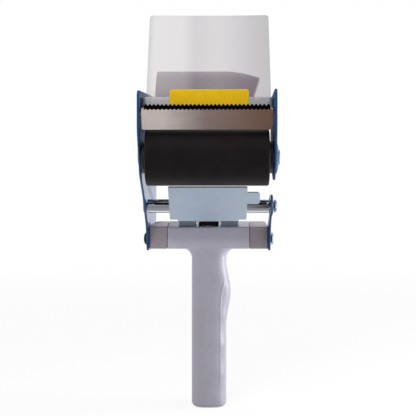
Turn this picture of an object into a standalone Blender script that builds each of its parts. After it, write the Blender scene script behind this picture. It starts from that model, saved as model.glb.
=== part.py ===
"""Packing tape dispenser for three inch tape, modelled as separate pieces.

X runs to the right and Z up as the cutter faces the viewer, and Y runs away from the viewer.
The origin is the centre of the grip's flat end. All sizes are in metres.
"""

import math

import bmesh
import bpy
import numpy as np
from mathutils import Vector

MM = 0.001

# Shared fits and fineness
CLEARANCE = 0.3 * MM
OVERRUN = 2 * MM
MERGE_DISTANCE = 0.01 * MM
ROUND_STEPS = 24
SMALL_STEPS = 16
DRUM_STEPS = 42
ARC_STEPS = 4
DOME_STEPS = 3
SHARP_ANGLE = math.radians(35)
HALF_TURN = math.pi
FULL_TURN = 2 * math.pi
QUARTER_TURN = math.pi / 2

# Handle: grip and cross head
GRIP_LENGTH = 113.8 * MM
GRIP_WIDTH = 24.6 * MM
GRIP_DEPTH = 30 * MM
GRIP_CORNER_POWER = 3.4
GRIP_END_ROUND = 3.4 * MM
GRIP_SECTION_POINTS = 24
THUMB_SWELL = 3 * MM
THUMB_HEIGHT = 87.4 * MM
THUMB_HALF_SPAN = 25 * MM
FINGER_SCALLOP = 0.9 * MM
FINGER_PITCH = 21 * MM
FINGER_COUNT = 4
NECK_ROUND = 7 * MM
HEAD_DEPTH = 28 * MM
HEAD_FRONT_HEIGHT = 15.6 * MM
HEAD_SLOPE_RISE = 4.3 * MM
HEAD_EDGE_ROUND = 1.6 * MM
HEAD_BLOCK_WIDTH = 58.5 * MM
CAP_CORNER_LEFT = 6 * MM
CAP_CORNER_RIGHT = 2.4 * MM
POCKET_WALL = 1.4 * MM
POCKET_WIDTH = 13 * MM
POCKET_LENGTH = 11 * MM
POCKET_DEPTH = 8 * MM
SPRING_SLOT_WIDTH = 14.4 * MM

# Side plates
PLATE_THICKNESS = 1.6 * MM
PLATE_TOP_RISE = 8.7 * MM
PLATE_TOP_ROUND = 5 * MM
PLATE_BELOW_HEAD = 1.2 * MM
PLATE_HEEL_ROUND = 7 * MM
PLATE_FRONT_ROUND = 16 * MM
PLATE_BEYOND_HUB = 51.5 * MM
PLATE_ABOVE_HUB = 25 * MM
PLATE_REAR_ROUND = 22 * MM
PLATE_REAR_LIFT = 17 * MM
ROD_EDGE_REACH = 16 * MM
ROD_EDGE_RISE = 5.3 * MM
HEAD_EDGE_REACH = 8 * MM
TONGUE_RISE = 8 * MM
ROLLER_MARGIN = 15.5 * MM
ROLLER_FRONT_MARGIN = 19 * MM
CHEEK_EXTRA_HEIGHT = 1.4 * MM
CHEEK_DEPTH = 50 * MM
TONGUE_BACK_REACH = 8 * MM

# Keeper plate, its hinge pin and spring
KEEPER_THICKNESS = 0.8 * MM
KEEPER_WIDTH = 53.2 * MM
KEEPER_TILT = math.radians(40.5)
KEEPER_ROD_GAP = 0.35 * MM
KEEPER_ABOVE_ROD = 26.2 * MM
KEEPER_BELOW_ROD = 9.3 * MM
KEEPER_WEB_GAP = 0.5 * MM
KEEPER_TAB_REACH = 8.6 * MM
KEEPER_TAB_TOP = 5.5 * MM
KEEPER_TAB_LENGTH = 12 * MM
PIN_RADIUS = 1.5 * MM
PIN_DEPTH = 1.9 * MM
PIN_BEHIND_FRONT = 7 * MM
EYE_WALL = 0.9 * MM
KEEPER_WIRE = 1 * MM
KEEPER_COIL_RADIUS = 2.6 * MM
KEEPER_COIL_PITCH = 1.75 * MM
KEEPER_COIL_TURNS = 5.25
KEEPER_FIXED_LEG = 4 * MM
KEEPER_MOVING_LEG = 14 * MM
CURL_POINTS = 9

# Guide rod
ROD_RADIUS = 4.7 * MM
ROD_FRONT_SETBACK = 18.5 * MM
ROD_BORE_RADIUS = 2.8 * MM
ROD_AXLE_RADIUS = 2.5 * MM
CLUTCH_LENGTH = 12 * MM
CLUTCH_RADIUS = 3.7 * MM

# Roller
ROLLER_RADIUS = 18.5 * MM
ROLLER_LENGTH = 79.4 * MM
ROLLER_BEARING = math.radians(130.5)
ROLLER_KEEPER_GAP = 6 * MM
RUBBER_THICKNESS = 4.2 * MM
CORE_WALL = 4 * MM
CORE_END_WALL = 6 * MM
AXLE_RADIUS = 4 * MM
SPACER_RADIUS = 10.4 * MM
SPACER_LENGTH = 2.3 * MM

# Cutter, crossbar and label
BLADE_GAP = 3.9 * MM
BLADE_BEARING = math.radians(132)
BLADE_TILT = math.radians(17.7)
BLADE_HEIGHT = 16.5 * MM
BLADE_SIDE_GAP = 1.3 * MM
BLADE_SHOULDER = 1.6 * MM
BLADE_THICKNESS = 0.8 * MM
TOOTH_PITCH = 2.56 * MM
TOOTH_DEPTH = 1.9 * MM
BLADE_CORNER_DROP = 3.6 * MM
ZINC_THICKNESS = 1.5 * MM
FLANGE_START = 2.5 * MM
FLANGE_LENGTH = 10.5 * MM
WEB_DEPTH = 14.6 * MM
UPRIGHT_HEIGHT = 9.2 * MM
LABEL_TAB_RISE = 5 * MM
LABEL_TAB_WIDTH = 53 * MM
LABEL_TAB_OFFSET = 1.2 * MM
CROSSBAR_TAB_LENGTH = 15 * MM
LABEL_WIDTH = 51 * MM
LABEL_THICKNESS = 0.2 * MM
LABEL_MARGIN = 0.4 * MM

# Flap and its clamp bar
FLAP_SIDE_GAP = 2.5 * MM
FLAP_THICKNESS = 0.5 * MM
FLAP_LEAN = math.radians(27.3)
FLAP_LENGTH = 61.7 * MM
FLAP_FOOT = 12.5 * MM
FLAP_CORNER = 2.4 * MM
CLAMP_THICKNESS = 1.2 * MM
CLAMP_SIDE_GAP = 3.8 * MM
CLAMP_HEIGHT = 7.5 * MM
CLAMP_CORNER = 1.5 * MM

# Rivets, bolts and nuts
RIVET_RADIUS = 1.5 * MM
RIVET_HEAD_RADIUS = 2.8 * MM
RIVET_HEAD_HEIGHT = 1.3 * MM
FLAP_RIVET_SIDE = 16 * MM
FLAP_RIVET_HEIGHT = 3.9 * MM
CROSSBAR_RIVET_PITCH = 5.6 * MM
CROSSBAR_RIVET_MIDDLE = 8.6 * MM
AXLE_HEAD_RADIUS = 5.2 * MM
AXLE_HEAD_HEIGHT = 0.8 * MM
TIE_RADIUS = 2.5 * MM
TIE_HEAD_RADIUS = 5 * MM
TIE_HEAD_HEIGHT = 3.1 * MM
TIE_RISE = 6.9 * MM
DOME_NUT_RADIUS = 4.5 * MM
DOME_NUT_HEIGHT = 2.2 * MM
DOME_NUT_WALL = 0.7 * MM
SMALL_BOSS_RADIUS = 6.4 * MM
SMALL_BOSS_HEIGHT = 1.2 * MM
CHEEK_BOSS_RADIUS = 10.8 * MM
CHEEK_BOSS_HEIGHT = 1.9 * MM

# Roll hub and its brake
ROLL_RADIUS = 63.5 * MM
ROLL_CLEARANCE = 5 * MM
HUB_BEARING = math.radians(20.5)
DRUM_RADIUS = 37.4 * MM
DRUM_WALL = 2.4 * MM
DRUM_LEFT_GAP = 5.2 * MM
DRUM_RIGHT_GAP = 5.1 * MM
DRUM_EASE = 0.25 * MM
DRUM_LEAD_LENGTH = 26 * MM
DRUM_LEAD_DROP = 4.6 * MM
DRUM_NOTCH_DEPTH = 5.6 * MM
DRUM_BOSS_RADIUS = 9 * MM
DRUM_BOSS_LENGTH = 12.7 * MM
DRUM_WEB_THICKNESS = 3 * MM
DRUM_RIB_COUNT = 3
DRUM_RIB_BEARING = math.radians(85)
DRUM_RIB_WIDTH = 6 * MM
DRUM_RIB_RADIUS = 38.05 * MM
DRUM_EAR_WIDTH = 13 * MM
DRUM_EAR_THICKNESS = 2.6 * MM
DRUM_EAR_RADIUS = 41 * MM
DRUM_EAR_SEAT = 0.6 * MM
HUB_BOLT_RADIUS = 4 * MM
HUB_NUT_FLATS = 13 * MM
HUB_NUT_THICKNESS = 5 * MM
HUB_SPACER_RADIUS = 9 * MM
HUB_SPACER_LENGTH = 3 * MM
FRICTION_RADIUS = 14 * MM
FRICTION_THICKNESS = 2 * MM
PRESSURE_RADIUS = 12 * MM
PRESSURE_THICKNESS = 1.5 * MM
BRAKE_SPRING_LENGTH = 18 * MM
BRAKE_WIRE = 2 * MM
BRAKE_COIL_RADIUS = 7.4 * MM
BRAKE_COIL_TURNS = 4.5
KNOB_COLLAR_RADIUS = 9 * MM
KNOB_COLLAR_LENGTH = 14 * MM
KNOB_RADIUS = 15.5 * MM
KNOB_LENGTH = 18 * MM
KNOB_LOBES = 8
KNOB_LOBE_DEPTH = 2 * MM
KNOB_END_WALL = 2.4 * MM
KNOB_TIGHTENING = 2.5 * MM

# Sides and heights that follow from the sizes above
INNER_SIDE = ROLLER_LENGTH / 2 + SPACER_LENGTH + CLEARANCE * 2
OUTER_SIDE = INNER_SIDE + PLATE_THICKNESS
HEAD_FRONT = -HEAD_DEPTH / 2
HEAD_REAR = HEAD_DEPTH / 2
HEAD_BOTTOM = GRIP_LENGTH
HEAD_FRONT_TOP = HEAD_BOTTOM + HEAD_FRONT_HEIGHT
HEAD_REAR_TOP = HEAD_FRONT_TOP + HEAD_SLOPE_RISE
POCKET_INNER_SIDE = SPRING_SLOT_WIDTH / 2 + POCKET_WALL
POCKET_OUTER_SIDE = POCKET_INNER_SIDE + POCKET_WIDTH
BLADE_HALF_WIDTH = INNER_SIDE - BLADE_SIDE_GAP
TOOTH_COUNT = int((BLADE_HALF_WIDTH - BLADE_SHOULDER) * 2 / TOOTH_PITCH)
PIN_AXIS = (HEAD_FRONT + PIN_BEHIND_FRONT, HEAD_FRONT_TOP - PIN_DEPTH)
TIE_AXIS = (0, HEAD_BOTTOM + TIE_RISE)

# Keeper pad, rod and roller, each placed against the one before
PAD_DOWN = Vector((math.cos(KEEPER_TILT), -math.sin(KEEPER_TILT)))
PAD_FRONT = Vector((-math.sin(KEEPER_TILT), -math.cos(KEEPER_TILT)))
ROD_TO_PAD = ROD_RADIUS + KEEPER_ROD_GAP + KEEPER_THICKNESS / 2
WEB_HEIGHT = HEAD_REAR_TOP + KEEPER_WEB_GAP
ROD_AXIS = (
    HEAD_FRONT - ROD_FRONT_SETBACK,
    WEB_HEIGHT - PAD_DOWN.y * KEEPER_BELOW_ROD - PAD_FRONT.y * ROD_TO_PAD,
)
PAD_FOOT = Vector(ROD_AXIS) + PAD_FRONT * ROD_TO_PAD
PAD_TOP = PAD_FOOT - PAD_DOWN * KEEPER_ABOVE_ROD
PAD_BOTTOM = PAD_FOOT + PAD_DOWN * KEEPER_BELOW_ROD


def away(start, distance, bearing):
    """Point at a distance from start, at a bearing from +Y towards +Z."""
    return (start[0] + distance * math.cos(bearing), start[1] + distance * math.sin(bearing))


ROLLER_AXIS = away(PAD_TOP, ROLLER_RADIUS + ROLLER_KEEPER_GAP, ROLLER_BEARING)
HUB_AXIS = away(ROLLER_AXIS, ROLLER_RADIUS + ROLL_RADIUS + ROLL_CLEARANCE, HUB_BEARING)
BLADE_FOOT = Vector(away(ROLLER_AXIS, ROLLER_RADIUS + BLADE_GAP, BLADE_BEARING))
BLADE_UP = Vector((-math.sin(BLADE_TILT), math.cos(BLADE_TILT)))
BLADE_BACK = Vector((math.cos(BLADE_TILT), math.sin(BLADE_TILT)))
BLADE_TIP = BLADE_FOOT + BLADE_UP * BLADE_HEIGHT

# Crossbar section, then what is stacked behind its upright
FLANGE_OFFSET = BLADE_BACK * (BLADE_THICKNESS / 2 + CLEARANCE + ZINC_THICKNESS / 2)
FLANGE_BOTTOM = BLADE_FOOT + BLADE_UP * FLANGE_START + FLANGE_OFFSET
FLANGE_TOP = FLANGE_BOTTOM + BLADE_UP * FLANGE_LENGTH
UPRIGHT_Y = FLANGE_TOP.x + WEB_DEPTH
UPRIGHT_TOP = FLANGE_TOP.y + UPRIGHT_HEIGHT
TAB_TOP = UPRIGHT_TOP + LABEL_TAB_RISE
FLAP_Y = UPRIGHT_Y + ZINC_THICKNESS / 2 + CLEARANCE + FLAP_THICKNESS / 2
CLAMP_FRONT = FLAP_Y + FLAP_THICKNESS / 2 + CLEARANCE
CLAMP_BACK = CLAMP_FRONT + CLAMP_THICKNESS
SHEET_BOTTOM = FLANGE_TOP.y + ZINC_THICKNESS / 2 + CLEARANCE
CROSSBAR_TAB_SIDE = INNER_SIDE - CLEARANCE - ZINC_THICKNESS / 2

# Stations along the hub bolt, from the left plate to the brake knob
NUT_START = -INNER_SIDE + CLEARANCE
HUB_SPACER_START = NUT_START + HUB_NUT_THICKNESS + CLEARANCE
BOSS_START = HUB_SPACER_START + HUB_SPACER_LENGTH + CLEARANCE
BOSS_END = BOSS_START + DRUM_BOSS_LENGTH
FRICTION_START = BOSS_END + CLEARANCE
PRESSURE_START = FRICTION_START + FRICTION_THICKNESS + CLEARANCE
BRAKE_SPRING_START = PRESSURE_START + PRESSURE_THICKNESS + CLEARANCE
BRAKE_SPRING_END = BRAKE_SPRING_START + BRAKE_SPRING_LENGTH
TOP_WASHER_START = BRAKE_SPRING_END + CLEARANCE
KNOB_START = TOP_WASHER_START + PRESSURE_THICKNESS + CLEARANCE
KNOB_GRIP_START = KNOB_START + KNOB_COLLAR_LENGTH
KNOB_END = KNOB_GRIP_START + KNOB_LENGTH
KNOB_BORE_END = KNOB_END - KNOB_END_WALL
HUB_BOLT_END = KNOB_BORE_END - CLEARANCE - KNOB_TIGHTENING
DRUM_START = -INNER_SIDE + DRUM_LEFT_GAP
DRUM_END = INNER_SIDE - DRUM_RIGHT_GAP
DRUM_LEAD_START = DRUM_END - DRUM_LEAD_LENGTH


# Scene set-up

def clear_scene():
    """Remove every object, so that the model stands alone."""
    for old in list(bpy.data.objects):
        bpy.data.objects.remove(old, do_unlink=True)


def new_collection(name):
    """Collection linked to the scene."""
    collection = bpy.data.collections.new(name)
    bpy.context.scene.collection.children.link(collection)
    return collection


clear_scene()
PARTS = new_collection("packing_tape_dispenser")
CUTTERS = new_collection("cutters")


# Finishes

def principled(piece, colour, roughness, metallic):
    """Give a piece its own Principled material."""
    material = bpy.data.materials.new(piece.name + "_finish")
    material.use_nodes = True
    shader = material.node_tree.nodes["Principled BSDF"]
    shader.inputs["Base Color"].default_value = (*colour, 1)
    shader.inputs["Roughness"].default_value = roughness
    shader.inputs["Metallic"].default_value = metallic
    piece.data.materials.clear()
    piece.data.materials.append(material)
    return piece


def blue_paint(piece):
    """Glossy dark blue enamel."""
    return principled(piece, colour=(0.01, 0.07, 0.25), roughness=0.3, metallic=0)


def zinc_plate(piece):
    """Bright zinc plating."""
    return principled(piece, colour=(0.55, 0.6, 0.65), roughness=0.35, metallic=1)


def bare_steel(piece):
    """Ground steel."""
    return principled(piece, colour=(0.5, 0.47, 0.45), roughness=0.3, metallic=1)


def chrome(piece):
    """Polished chrome."""
    return principled(piece, colour=(0.8, 0.8, 0.82), roughness=0.08, metallic=1)


def grey_plastic(piece):
    """Satin grey moulding."""
    return principled(piece, colour=(0.32, 0.31, 0.36), roughness=0.4, metallic=0)


def cap_plastic(piece):
    """Darker, browner grey moulding."""
    return principled(piece, colour=(0.24, 0.22, 0.22), roughness=0.45, metallic=0)


def black_plastic(piece):
    """Matt black moulding."""
    return principled(piece, colour=(0.015, 0.015, 0.018), roughness=0.5, metallic=0)


def black_rubber(piece):
    """Matt black rubber."""
    return principled(piece, colour=(0.02, 0.018, 0.02), roughness=0.7, metallic=0)


def black_oxide(piece):
    """Blackened steel."""
    return principled(piece, colour=(0.02, 0.02, 0.02), roughness=0.35, metallic=1)


def clear_film(piece):
    """Hazy clear sheet."""
    return principled(piece, colour=(0.75, 0.72, 0.76), roughness=0.25, metallic=0)


def yellow_film(piece):
    """Yellow film."""
    return principled(piece, colour=(0.7, 0.45, 0), roughness=0.4, metallic=0)


def fibre(piece):
    """Brown friction fibre."""
    return principled(piece, colour=(0.16, 0.07, 0.04), roughness=0.8, metallic=0)


# Outlines and profiles

def arc(centre, radius, start, end, steps):
    """Points along an arc, angles measured from the first axis towards the second."""
    angles = np.linspace(start, end, steps + 1)
    return [(centre[0] + radius * math.cos(a), centre[1] + radius * math.sin(a)) for a in angles]


def rounded(corners):
    """Closed outline through (first, second, radius) corners, each rounded by its radius."""
    outline = []
    count = len(corners)
    for index, (u, v, radius) in enumerate(corners):
        here = Vector((u, v))
        to_last = Vector(corners[index - 1][:2]) - here
        to_next = Vector(corners[(index + 1) % count][:2]) - here
        half_angle = to_last.angle(to_next) / 2
        room = min(to_last.length, to_next.length) / 2
        setback = min(radius / math.tan(half_angle), room)
        start = here + to_last.normalized() * setback
        end = here + to_next.normalized() * setback
        for t in np.linspace(0, 1, ARC_STEPS + 1):
            a = start.lerp(here, t)
            b = here.lerp(end, t)
            point = a.lerp(b, t)
            outline.append((point.x, point.y))
    return outline


def circle(centre, radius, steps=SMALL_STEPS):
    """Closed circle."""
    return arc(centre, radius, 0, FULL_TURN, steps)[:-1]


def hexagon(centre, across_flats):
    """Closed hexagon, by its width across flats."""
    corner_radius = across_flats / 2 / math.cos(math.pi / 6)
    return circle(centre, corner_radius, steps=6)


def dome(radius, base, height):
    """Turned dome from its apex down to its rim, as (radius, station) points."""
    angles = np.linspace(0, QUARTER_TURN, DOME_STEPS + 1)
    return [(radius * math.sin(a), base + height * math.cos(a)) for a in angles]


def bowl(radius, base, height):
    """Turned dome that faces down, from its rim to its apex."""
    return [(r, 2 * base - station) for r, station in reversed(dome(radius, base, height))]


# Solids

def link_piece(name, data, location=(0, 0, 0), rotation=(0, 0, 0), collection=PARTS):
    """Named object in a collection."""
    piece = bpy.data.objects.new(name, data)
    piece.location = location
    piece.rotation_euler = rotation
    collection.objects.link(piece)
    return piece


def as_cutter(piece):
    """Hide a helper that only cuts or joins."""
    piece.hide_render = True
    piece.display_type = "WIRE"
    return piece


def smooth(mesh):
    """Shade round faces smooth and keep the edges sharp."""
    mesh.shade_smooth()
    mesh.set_sharp_from_angle(angle=SHARP_ANGLE)


def turned(name, profile, axis, closed, steps=ROUND_STEPS, collection=PARTS):
    """Piece turned about a line along X; the profile is (radius, X) from the right end."""
    mesh = bpy.data.meshes.new(name)
    points = [(radius, 0, station) for radius, station in profile]
    edges = [(i, i + 1) for i in range(len(points) - 1)]
    if closed:
        edges.append((len(points) - 1, 0))
    mesh.from_pydata(points, edges, [])
    piece = link_piece(name, mesh, (0, *axis), (0, QUARTER_TURN, 0), collection)
    screw = piece.modifiers.new("turn", "SCREW")
    screw.axis = "Z"
    screw.steps = steps
    screw.render_steps = steps
    screw.use_merge_vertices = True
    screw.merge_threshold = MERGE_DISTANCE
    screw.use_smooth_shade = True
    return piece


def ring(name, outer, inner, start, end, axis):
    """Plain ring or tube along X."""
    profile = [(outer, end), (outer, start), (inner, start), (inner, end)]
    return turned(name, profile, axis, closed=True)


def rod(name, radius, start, end, axis, collection=PARTS, steps=SMALL_STEPS):
    """Plain round bar along X."""
    profile = [(0, end), (radius, end), (radius, start), (0, start)]
    return turned(name, profile, axis, closed=False, steps=steps, collection=collection)


def headed_bar(name, axis, radius, tail, seat, head_radius, head_height, steps=ROUND_STEPS):
    """Round bar along X from its tail to a dome head, whose seat faces the tail."""
    if seat > tail:
        profile = dome(head_radius, seat, head_height) + [(radius, seat), (radius, tail), (0, tail)]
    else:
        profile = [(0, tail), (radius, tail), (radius, seat)] + bowl(head_radius, seat, head_height)
    return turned(name, profile, axis, closed=False, steps=steps)


def small_rivet(name, axis, tail, seat):
    """Sheet metal rivet along X."""
    sizes = (RIVET_RADIUS, tail, seat, RIVET_HEAD_RADIUS, RIVET_HEAD_HEIGHT, SMALL_STEPS)
    return headed_bar(name, axis, *sizes)


def box(name, low, high, collection=CUTTERS):
    """Box between two corners."""
    mesh = bpy.data.meshes.new(name)
    shape = bmesh.new()
    bmesh.ops.create_cube(shape, size=1)
    for vertex in shape.verts:
        shares = [coordinate + 1 / 2 for coordinate in vertex.co]
        vertex.co = [a + (b - a) * share for a, b, share in zip(low, high, shares)]
    shape.to_mesh(mesh)
    shape.free()
    return link_piece(name, mesh, collection=collection)


def flat_curve(name, outlines, thickness, location, rotation):
    """Flat sheet from closed outlines; the inner ones are holes."""
    curve = bpy.data.curves.new(name, "CURVE")
    curve.dimensions = "2D"
    curve.fill_mode = "BOTH"
    curve.extrude = thickness / 2
    for outline in outlines:
        spline = curve.splines.new("POLY")
        spline.points.add(len(outline) - 1)
        for point, (u, v) in zip(spline.points, outline):
            point.co = (u, v, 0, 1)
        spline.use_cyclic_u = True
    return link_piece(name, curve, location, rotation)


def as_mesh(source, collection=PARTS):
    """Turn a curve object into a mesh object with its caps welded on."""
    name = source.name
    bpy.context.view_layer.update()
    evaluated = source.evaluated_get(bpy.context.evaluated_depsgraph_get())
    mesh = bpy.data.meshes.new_from_object(evaluated)
    matrix = source.matrix_world.copy()
    bpy.data.objects.remove(source, do_unlink=True)
    weld(mesh)
    smooth(mesh)
    mesh.name = name
    piece = link_piece(name, mesh, collection=collection)
    piece.matrix_world = matrix
    return piece


def weld(mesh):
    """Join the vertices that lie on one another and turn every face outwards."""
    shape = bmesh.new()
    shape.from_mesh(mesh)
    bmesh.ops.remove_doubles(shape, verts=shape.verts, dist=MERGE_DISTANCE)
    bmesh.ops.recalc_face_normals(shape, faces=shape.faces)
    shape.to_mesh(mesh)
    shape.free()


def slab_x(name, outlines, start, end):
    """Flat piece between two stations on X; its outlines are in (Y, Z)."""
    location = ((start + end) / 2, 0, 0)
    return flat_curve(name, outlines, end - start, location, (QUARTER_TURN, 0, QUARTER_TURN))


def slab_y(name, outlines, start, end):
    """Flat piece between two stations on Y; its outlines are in (X, Z)."""
    location = (0, (start + end) / 2, 0)
    return flat_curve(name, outlines, end - start, location, (QUARTER_TURN, 0, 0))


def combine(piece, helper, operation):
    """Join, cut or intersect a piece with a helper."""
    modifier = piece.modifiers.new(operation.lower() + "_" + helper.name, "BOOLEAN")
    modifier.operation = operation
    modifier.solver = "EXACT"
    modifier.object = as_cutter(helper)


def join(piece, helper):
    """Boolean union."""
    combine(piece, helper, "UNION")


def cut(piece, helper):
    """Boolean difference."""
    combine(piece, helper, "DIFFERENCE")


def thicken(piece, thickness):
    """Give an open surface its thickness, half to each side."""
    solid = piece.modifiers.new("thickness", "SOLIDIFY")
    solid.thickness = thickness
    solid.offset = 0
    solid.use_even_offset = True
    return piece


def sheet(name, profile, patches, thickness, origin=(0, 0, 0)):
    """Folded sheet: patches of (X from, X to, distance from, distance to) along a folded line.

    The line is a list of (Y, Z) points, and distances run along it from its first point.
    """
    line = [Vector(point) for point in profile]
    reach = [0]
    for a, b in zip(line, line[1:]):
        reach.append(reach[-1] + (b - a).length)
    columns = sorted({round(x, 7) for patch in patches for x in patch[:2]})
    rows = sorted({round(s, 7) for patch in patches for s in patch[2:]} | {round(s, 7) for s in reach})

    def fold(s):
        index = min(max(np.searchsorted(reach, s) - 1, 0), len(line) - 2)
        share = (s - reach[index]) / (reach[index + 1] - reach[index])
        return line[index].lerp(line[index + 1], share)

    shape = bmesh.new()
    grid = {}
    for i in range(len(columns) - 1):
        for j in range(len(rows) - 1):
            x, s = (columns[i] + columns[i + 1]) / 2, (rows[j] + rows[j + 1]) / 2
            if not any(a < x < b and c < s < d for a, b, c, d in patches):
                continue
            corners = []
            for key in ((i, j), (i + 1, j), (i + 1, j + 1), (i, j + 1)):
                if key not in grid:
                    spot = fold(rows[key[1]])
                    place = Vector((columns[key[0]], spot.x, spot.y)) - Vector(origin)
                    grid[key] = shape.verts.new(place)
                corners.append(grid[key])
            shape.faces.new(corners)
    mesh = bpy.data.meshes.new(name)
    shape.to_mesh(mesh)
    shape.free()
    return thicken(link_piece(name, mesh, origin), thickness)


def strip(name, rows, thickness):
    """Sheet of varying width: rows of (Y, Z, X from, X to) joined in order."""
    points = [point for y, z, left, right in rows for point in ((left, y, z), (right, y, z))]
    faces = [(i, i + 1, i + 3, i + 2) for i in range(0, len(points) - 2, 2)]
    mesh = bpy.data.meshes.new(name)
    mesh.from_pydata(points, [], faces)
    return thicken(link_piece(name, mesh), thickness)


def wire(name, points, radius):
    """Round wire through points."""
    curve = bpy.data.curves.new(name, "CURVE")
    curve.dimensions = "3D"
    curve.bevel_depth = radius
    curve.bevel_resolution = 1
    curve.use_fill_caps = True
    spline = curve.splines.new("POLY")
    spline.points.add(len(points) - 1)
    for point, place in zip(spline.points, points):
        point.co = (*place, 1)
    return link_piece(name, curve)


def report_least_gap(name, points, radius, turn_points):
    """Print the least gap between a coil's neighbouring turns."""
    places = np.array(points)
    reach = np.linalg.norm(places[:, None] - places[None, :], axis=2)
    order = np.arange(len(places))
    apart = np.abs(order[:, None] - order[None, :]) > turn_points / 2
    gap = reach[apart].min() - 2 * radius
    print(name, "least gap to itself, mm:", round(gap / MM, 2))


# Side plates

def bore_cutter(name, radius, axis):
    """Round cutter along X, through both plates and their bosses."""
    reach = OUTER_SIDE + max(CHEEK_BOSS_HEIGHT, SMALL_BOSS_HEIGHT) + OVERRUN
    return rod(name, radius, -reach, reach, axis, collection=CUTTERS)


def front_edge():
    """Front edge of the side plates from the roller down to the handle, as corners."""
    rod_y, rod_z = ROD_AXIS
    roller_y, roller_z = ROLLER_AXIS
    return [
        (roller_y - ROLLER_FRONT_MARGIN, roller_z + ROLLER_MARGIN, PLATE_FRONT_ROUND),
        (roller_y - ROLLER_MARGIN / 8, roller_z - ROLLER_MARGIN * 4 / 5, PLATE_FRONT_ROUND),
        (rod_y - ROD_EDGE_REACH, rod_z + ROD_EDGE_RISE, PLATE_FRONT_ROUND),
        (HEAD_FRONT - HEAD_EDGE_REACH, HEAD_FRONT_TOP, PLATE_FRONT_ROUND),
        (HEAD_FRONT - PLATE_BELOW_HEAD, HEAD_BOTTOM - PLATE_BELOW_HEAD, PLATE_HEEL_ROUND / 2),
    ]


def plate_top():
    """Height of the side plates' top edge at the front."""
    return BLADE_TIP.y + PLATE_TOP_RISE


def make_side_plate_left():
    """Deep one-piece plate on the left, which carries the hub."""
    rear = HUB_AXIS[0] + PLATE_BEYOND_HUB
    bottom = HEAD_BOTTOM - PLATE_BELOW_HEAD
    corners = [
        *front_edge(),
        (HEAD_REAR + PLATE_BELOW_HEAD, bottom, PLATE_HEEL_ROUND),
        (rear, bottom + PLATE_REAR_LIFT, PLATE_REAR_ROUND),
        (rear, HUB_AXIS[1] + PLATE_ABOVE_HUB, PLATE_REAR_ROUND),
        (ROLLER_AXIS[0] - ROLLER_FRONT_MARGIN, plate_top(), PLATE_TOP_ROUND),
    ]
    holes = [
        circle(ROLLER_AXIS, AXLE_RADIUS + CLEARANCE),
        circle(ROD_AXIS, ROD_AXLE_RADIUS + CLEARANCE),
        circle(TIE_AXIS, TIE_RADIUS + CLEARANCE),
        circle(HUB_AXIS, HUB_BOLT_RADIUS + CLEARANCE),
        *[circle(axis, RIVET_RADIUS + CLEARANCE) for axis in crossbar_rivet_axes()],
    ]
    return slab_x("side_plate_left", [rounded(corners), *holes], -OUTER_SIDE, -INNER_SIDE)


def boss(name, radius, height, axis):
    """Pressed boss that stands out of a right hand plate."""
    profile = [*dome(radius, OUTER_SIDE, height), (radius, OUTER_SIDE - PLATE_THICKNESS / 2)]
    profile.append((0, OUTER_SIDE - PLATE_THICKNESS / 2))
    return turned(name, profile, axis, closed=False, collection=CUTTERS)


def make_cheek_plate_right():
    """Upper plate on the right, round the roller's end."""
    roller_y, roller_z = ROLLER_AXIS
    front = roller_y - ROLLER_FRONT_MARGIN
    rear = front + CHEEK_DEPTH
    top = plate_top() + CHEEK_EXTRA_HEIGHT
    corners = [
        (front, roller_z + ROLLER_MARGIN, PLATE_FRONT_ROUND),
        (roller_y - ROLLER_MARGIN * 4 / 5, roller_z - ROLLER_MARGIN / 3, PLATE_HEEL_ROUND),
        (roller_y + ROLLER_MARGIN / 4, roller_z - ROLLER_MARGIN, PLATE_HEEL_ROUND),
        (roller_y + ROLLER_MARGIN * 3 / 2, roller_z - ROLLER_MARGIN / 2, PLATE_HEEL_ROUND),
        (rear, roller_z + ROLLER_MARGIN, PLATE_FRONT_ROUND),
        (rear, top - CHEEK_EXTRA_HEIGHT, PLATE_TOP_ROUND),
        (front, top, PLATE_TOP_ROUND),
    ]
    holes = [circle(axis, RIVET_RADIUS + CLEARANCE) for axis in crossbar_rivet_axes()]
    plate = as_mesh(slab_x("cheek_plate_right", [rounded(corners), *holes], INNER_SIDE, OUTER_SIDE))
    join(plate, boss("cheek_boss", CHEEK_BOSS_RADIUS, CHEEK_BOSS_HEIGHT, ROLLER_AXIS))
    cut(plate, bore_cutter("cheek_bore", AXLE_RADIUS + CLEARANCE, ROLLER_AXIS))
    return plate


def make_side_plate_right_lower():
    """Lower plate on the right, from the rod's end to the cross head."""
    rod_y, rod_z = ROD_AXIS
    bottom = HEAD_BOTTOM - PLATE_BELOW_HEAD
    corners = [
        (rod_y - ROD_EDGE_REACH - ROD_EDGE_RISE / 2, rod_z + TONGUE_RISE, PLATE_TOP_ROUND),
        *front_edge()[3:],
        (HEAD_REAR, bottom, PLATE_HEEL_ROUND),
        (HEAD_REAR, HEAD_FRONT_TOP - PLATE_BELOW_HEAD, PLATE_HEEL_ROUND),
        (0, HEAD_FRONT_TOP, PLATE_FRONT_ROUND),
        (rod_y + TONGUE_BACK_REACH, rod_z - TONGUE_RISE / 2, PLATE_HEEL_ROUND),
        (rod_y + TONGUE_BACK_REACH, rod_z + TONGUE_RISE, PLATE_TOP_ROUND),
    ]
    plate = as_mesh(slab_x("side_plate_right_lower", [rounded(corners)], INNER_SIDE, OUTER_SIDE))
    join(plate, boss("rod_boss", SMALL_BOSS_RADIUS, SMALL_BOSS_HEIGHT, ROD_AXIS))
    join(plate, boss("tie_boss", SMALL_BOSS_RADIUS, SMALL_BOSS_HEIGHT, TIE_AXIS))
    cut(plate, bore_cutter("rod_plate_bore", ROD_AXLE_RADIUS + CLEARANCE, ROD_AXIS))
    cut(plate, bore_cutter("tie_plate_bore", TIE_RADIUS + CLEARANCE, TIE_AXIS))
    return plate


# Crossbar, cutter and label

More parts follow.
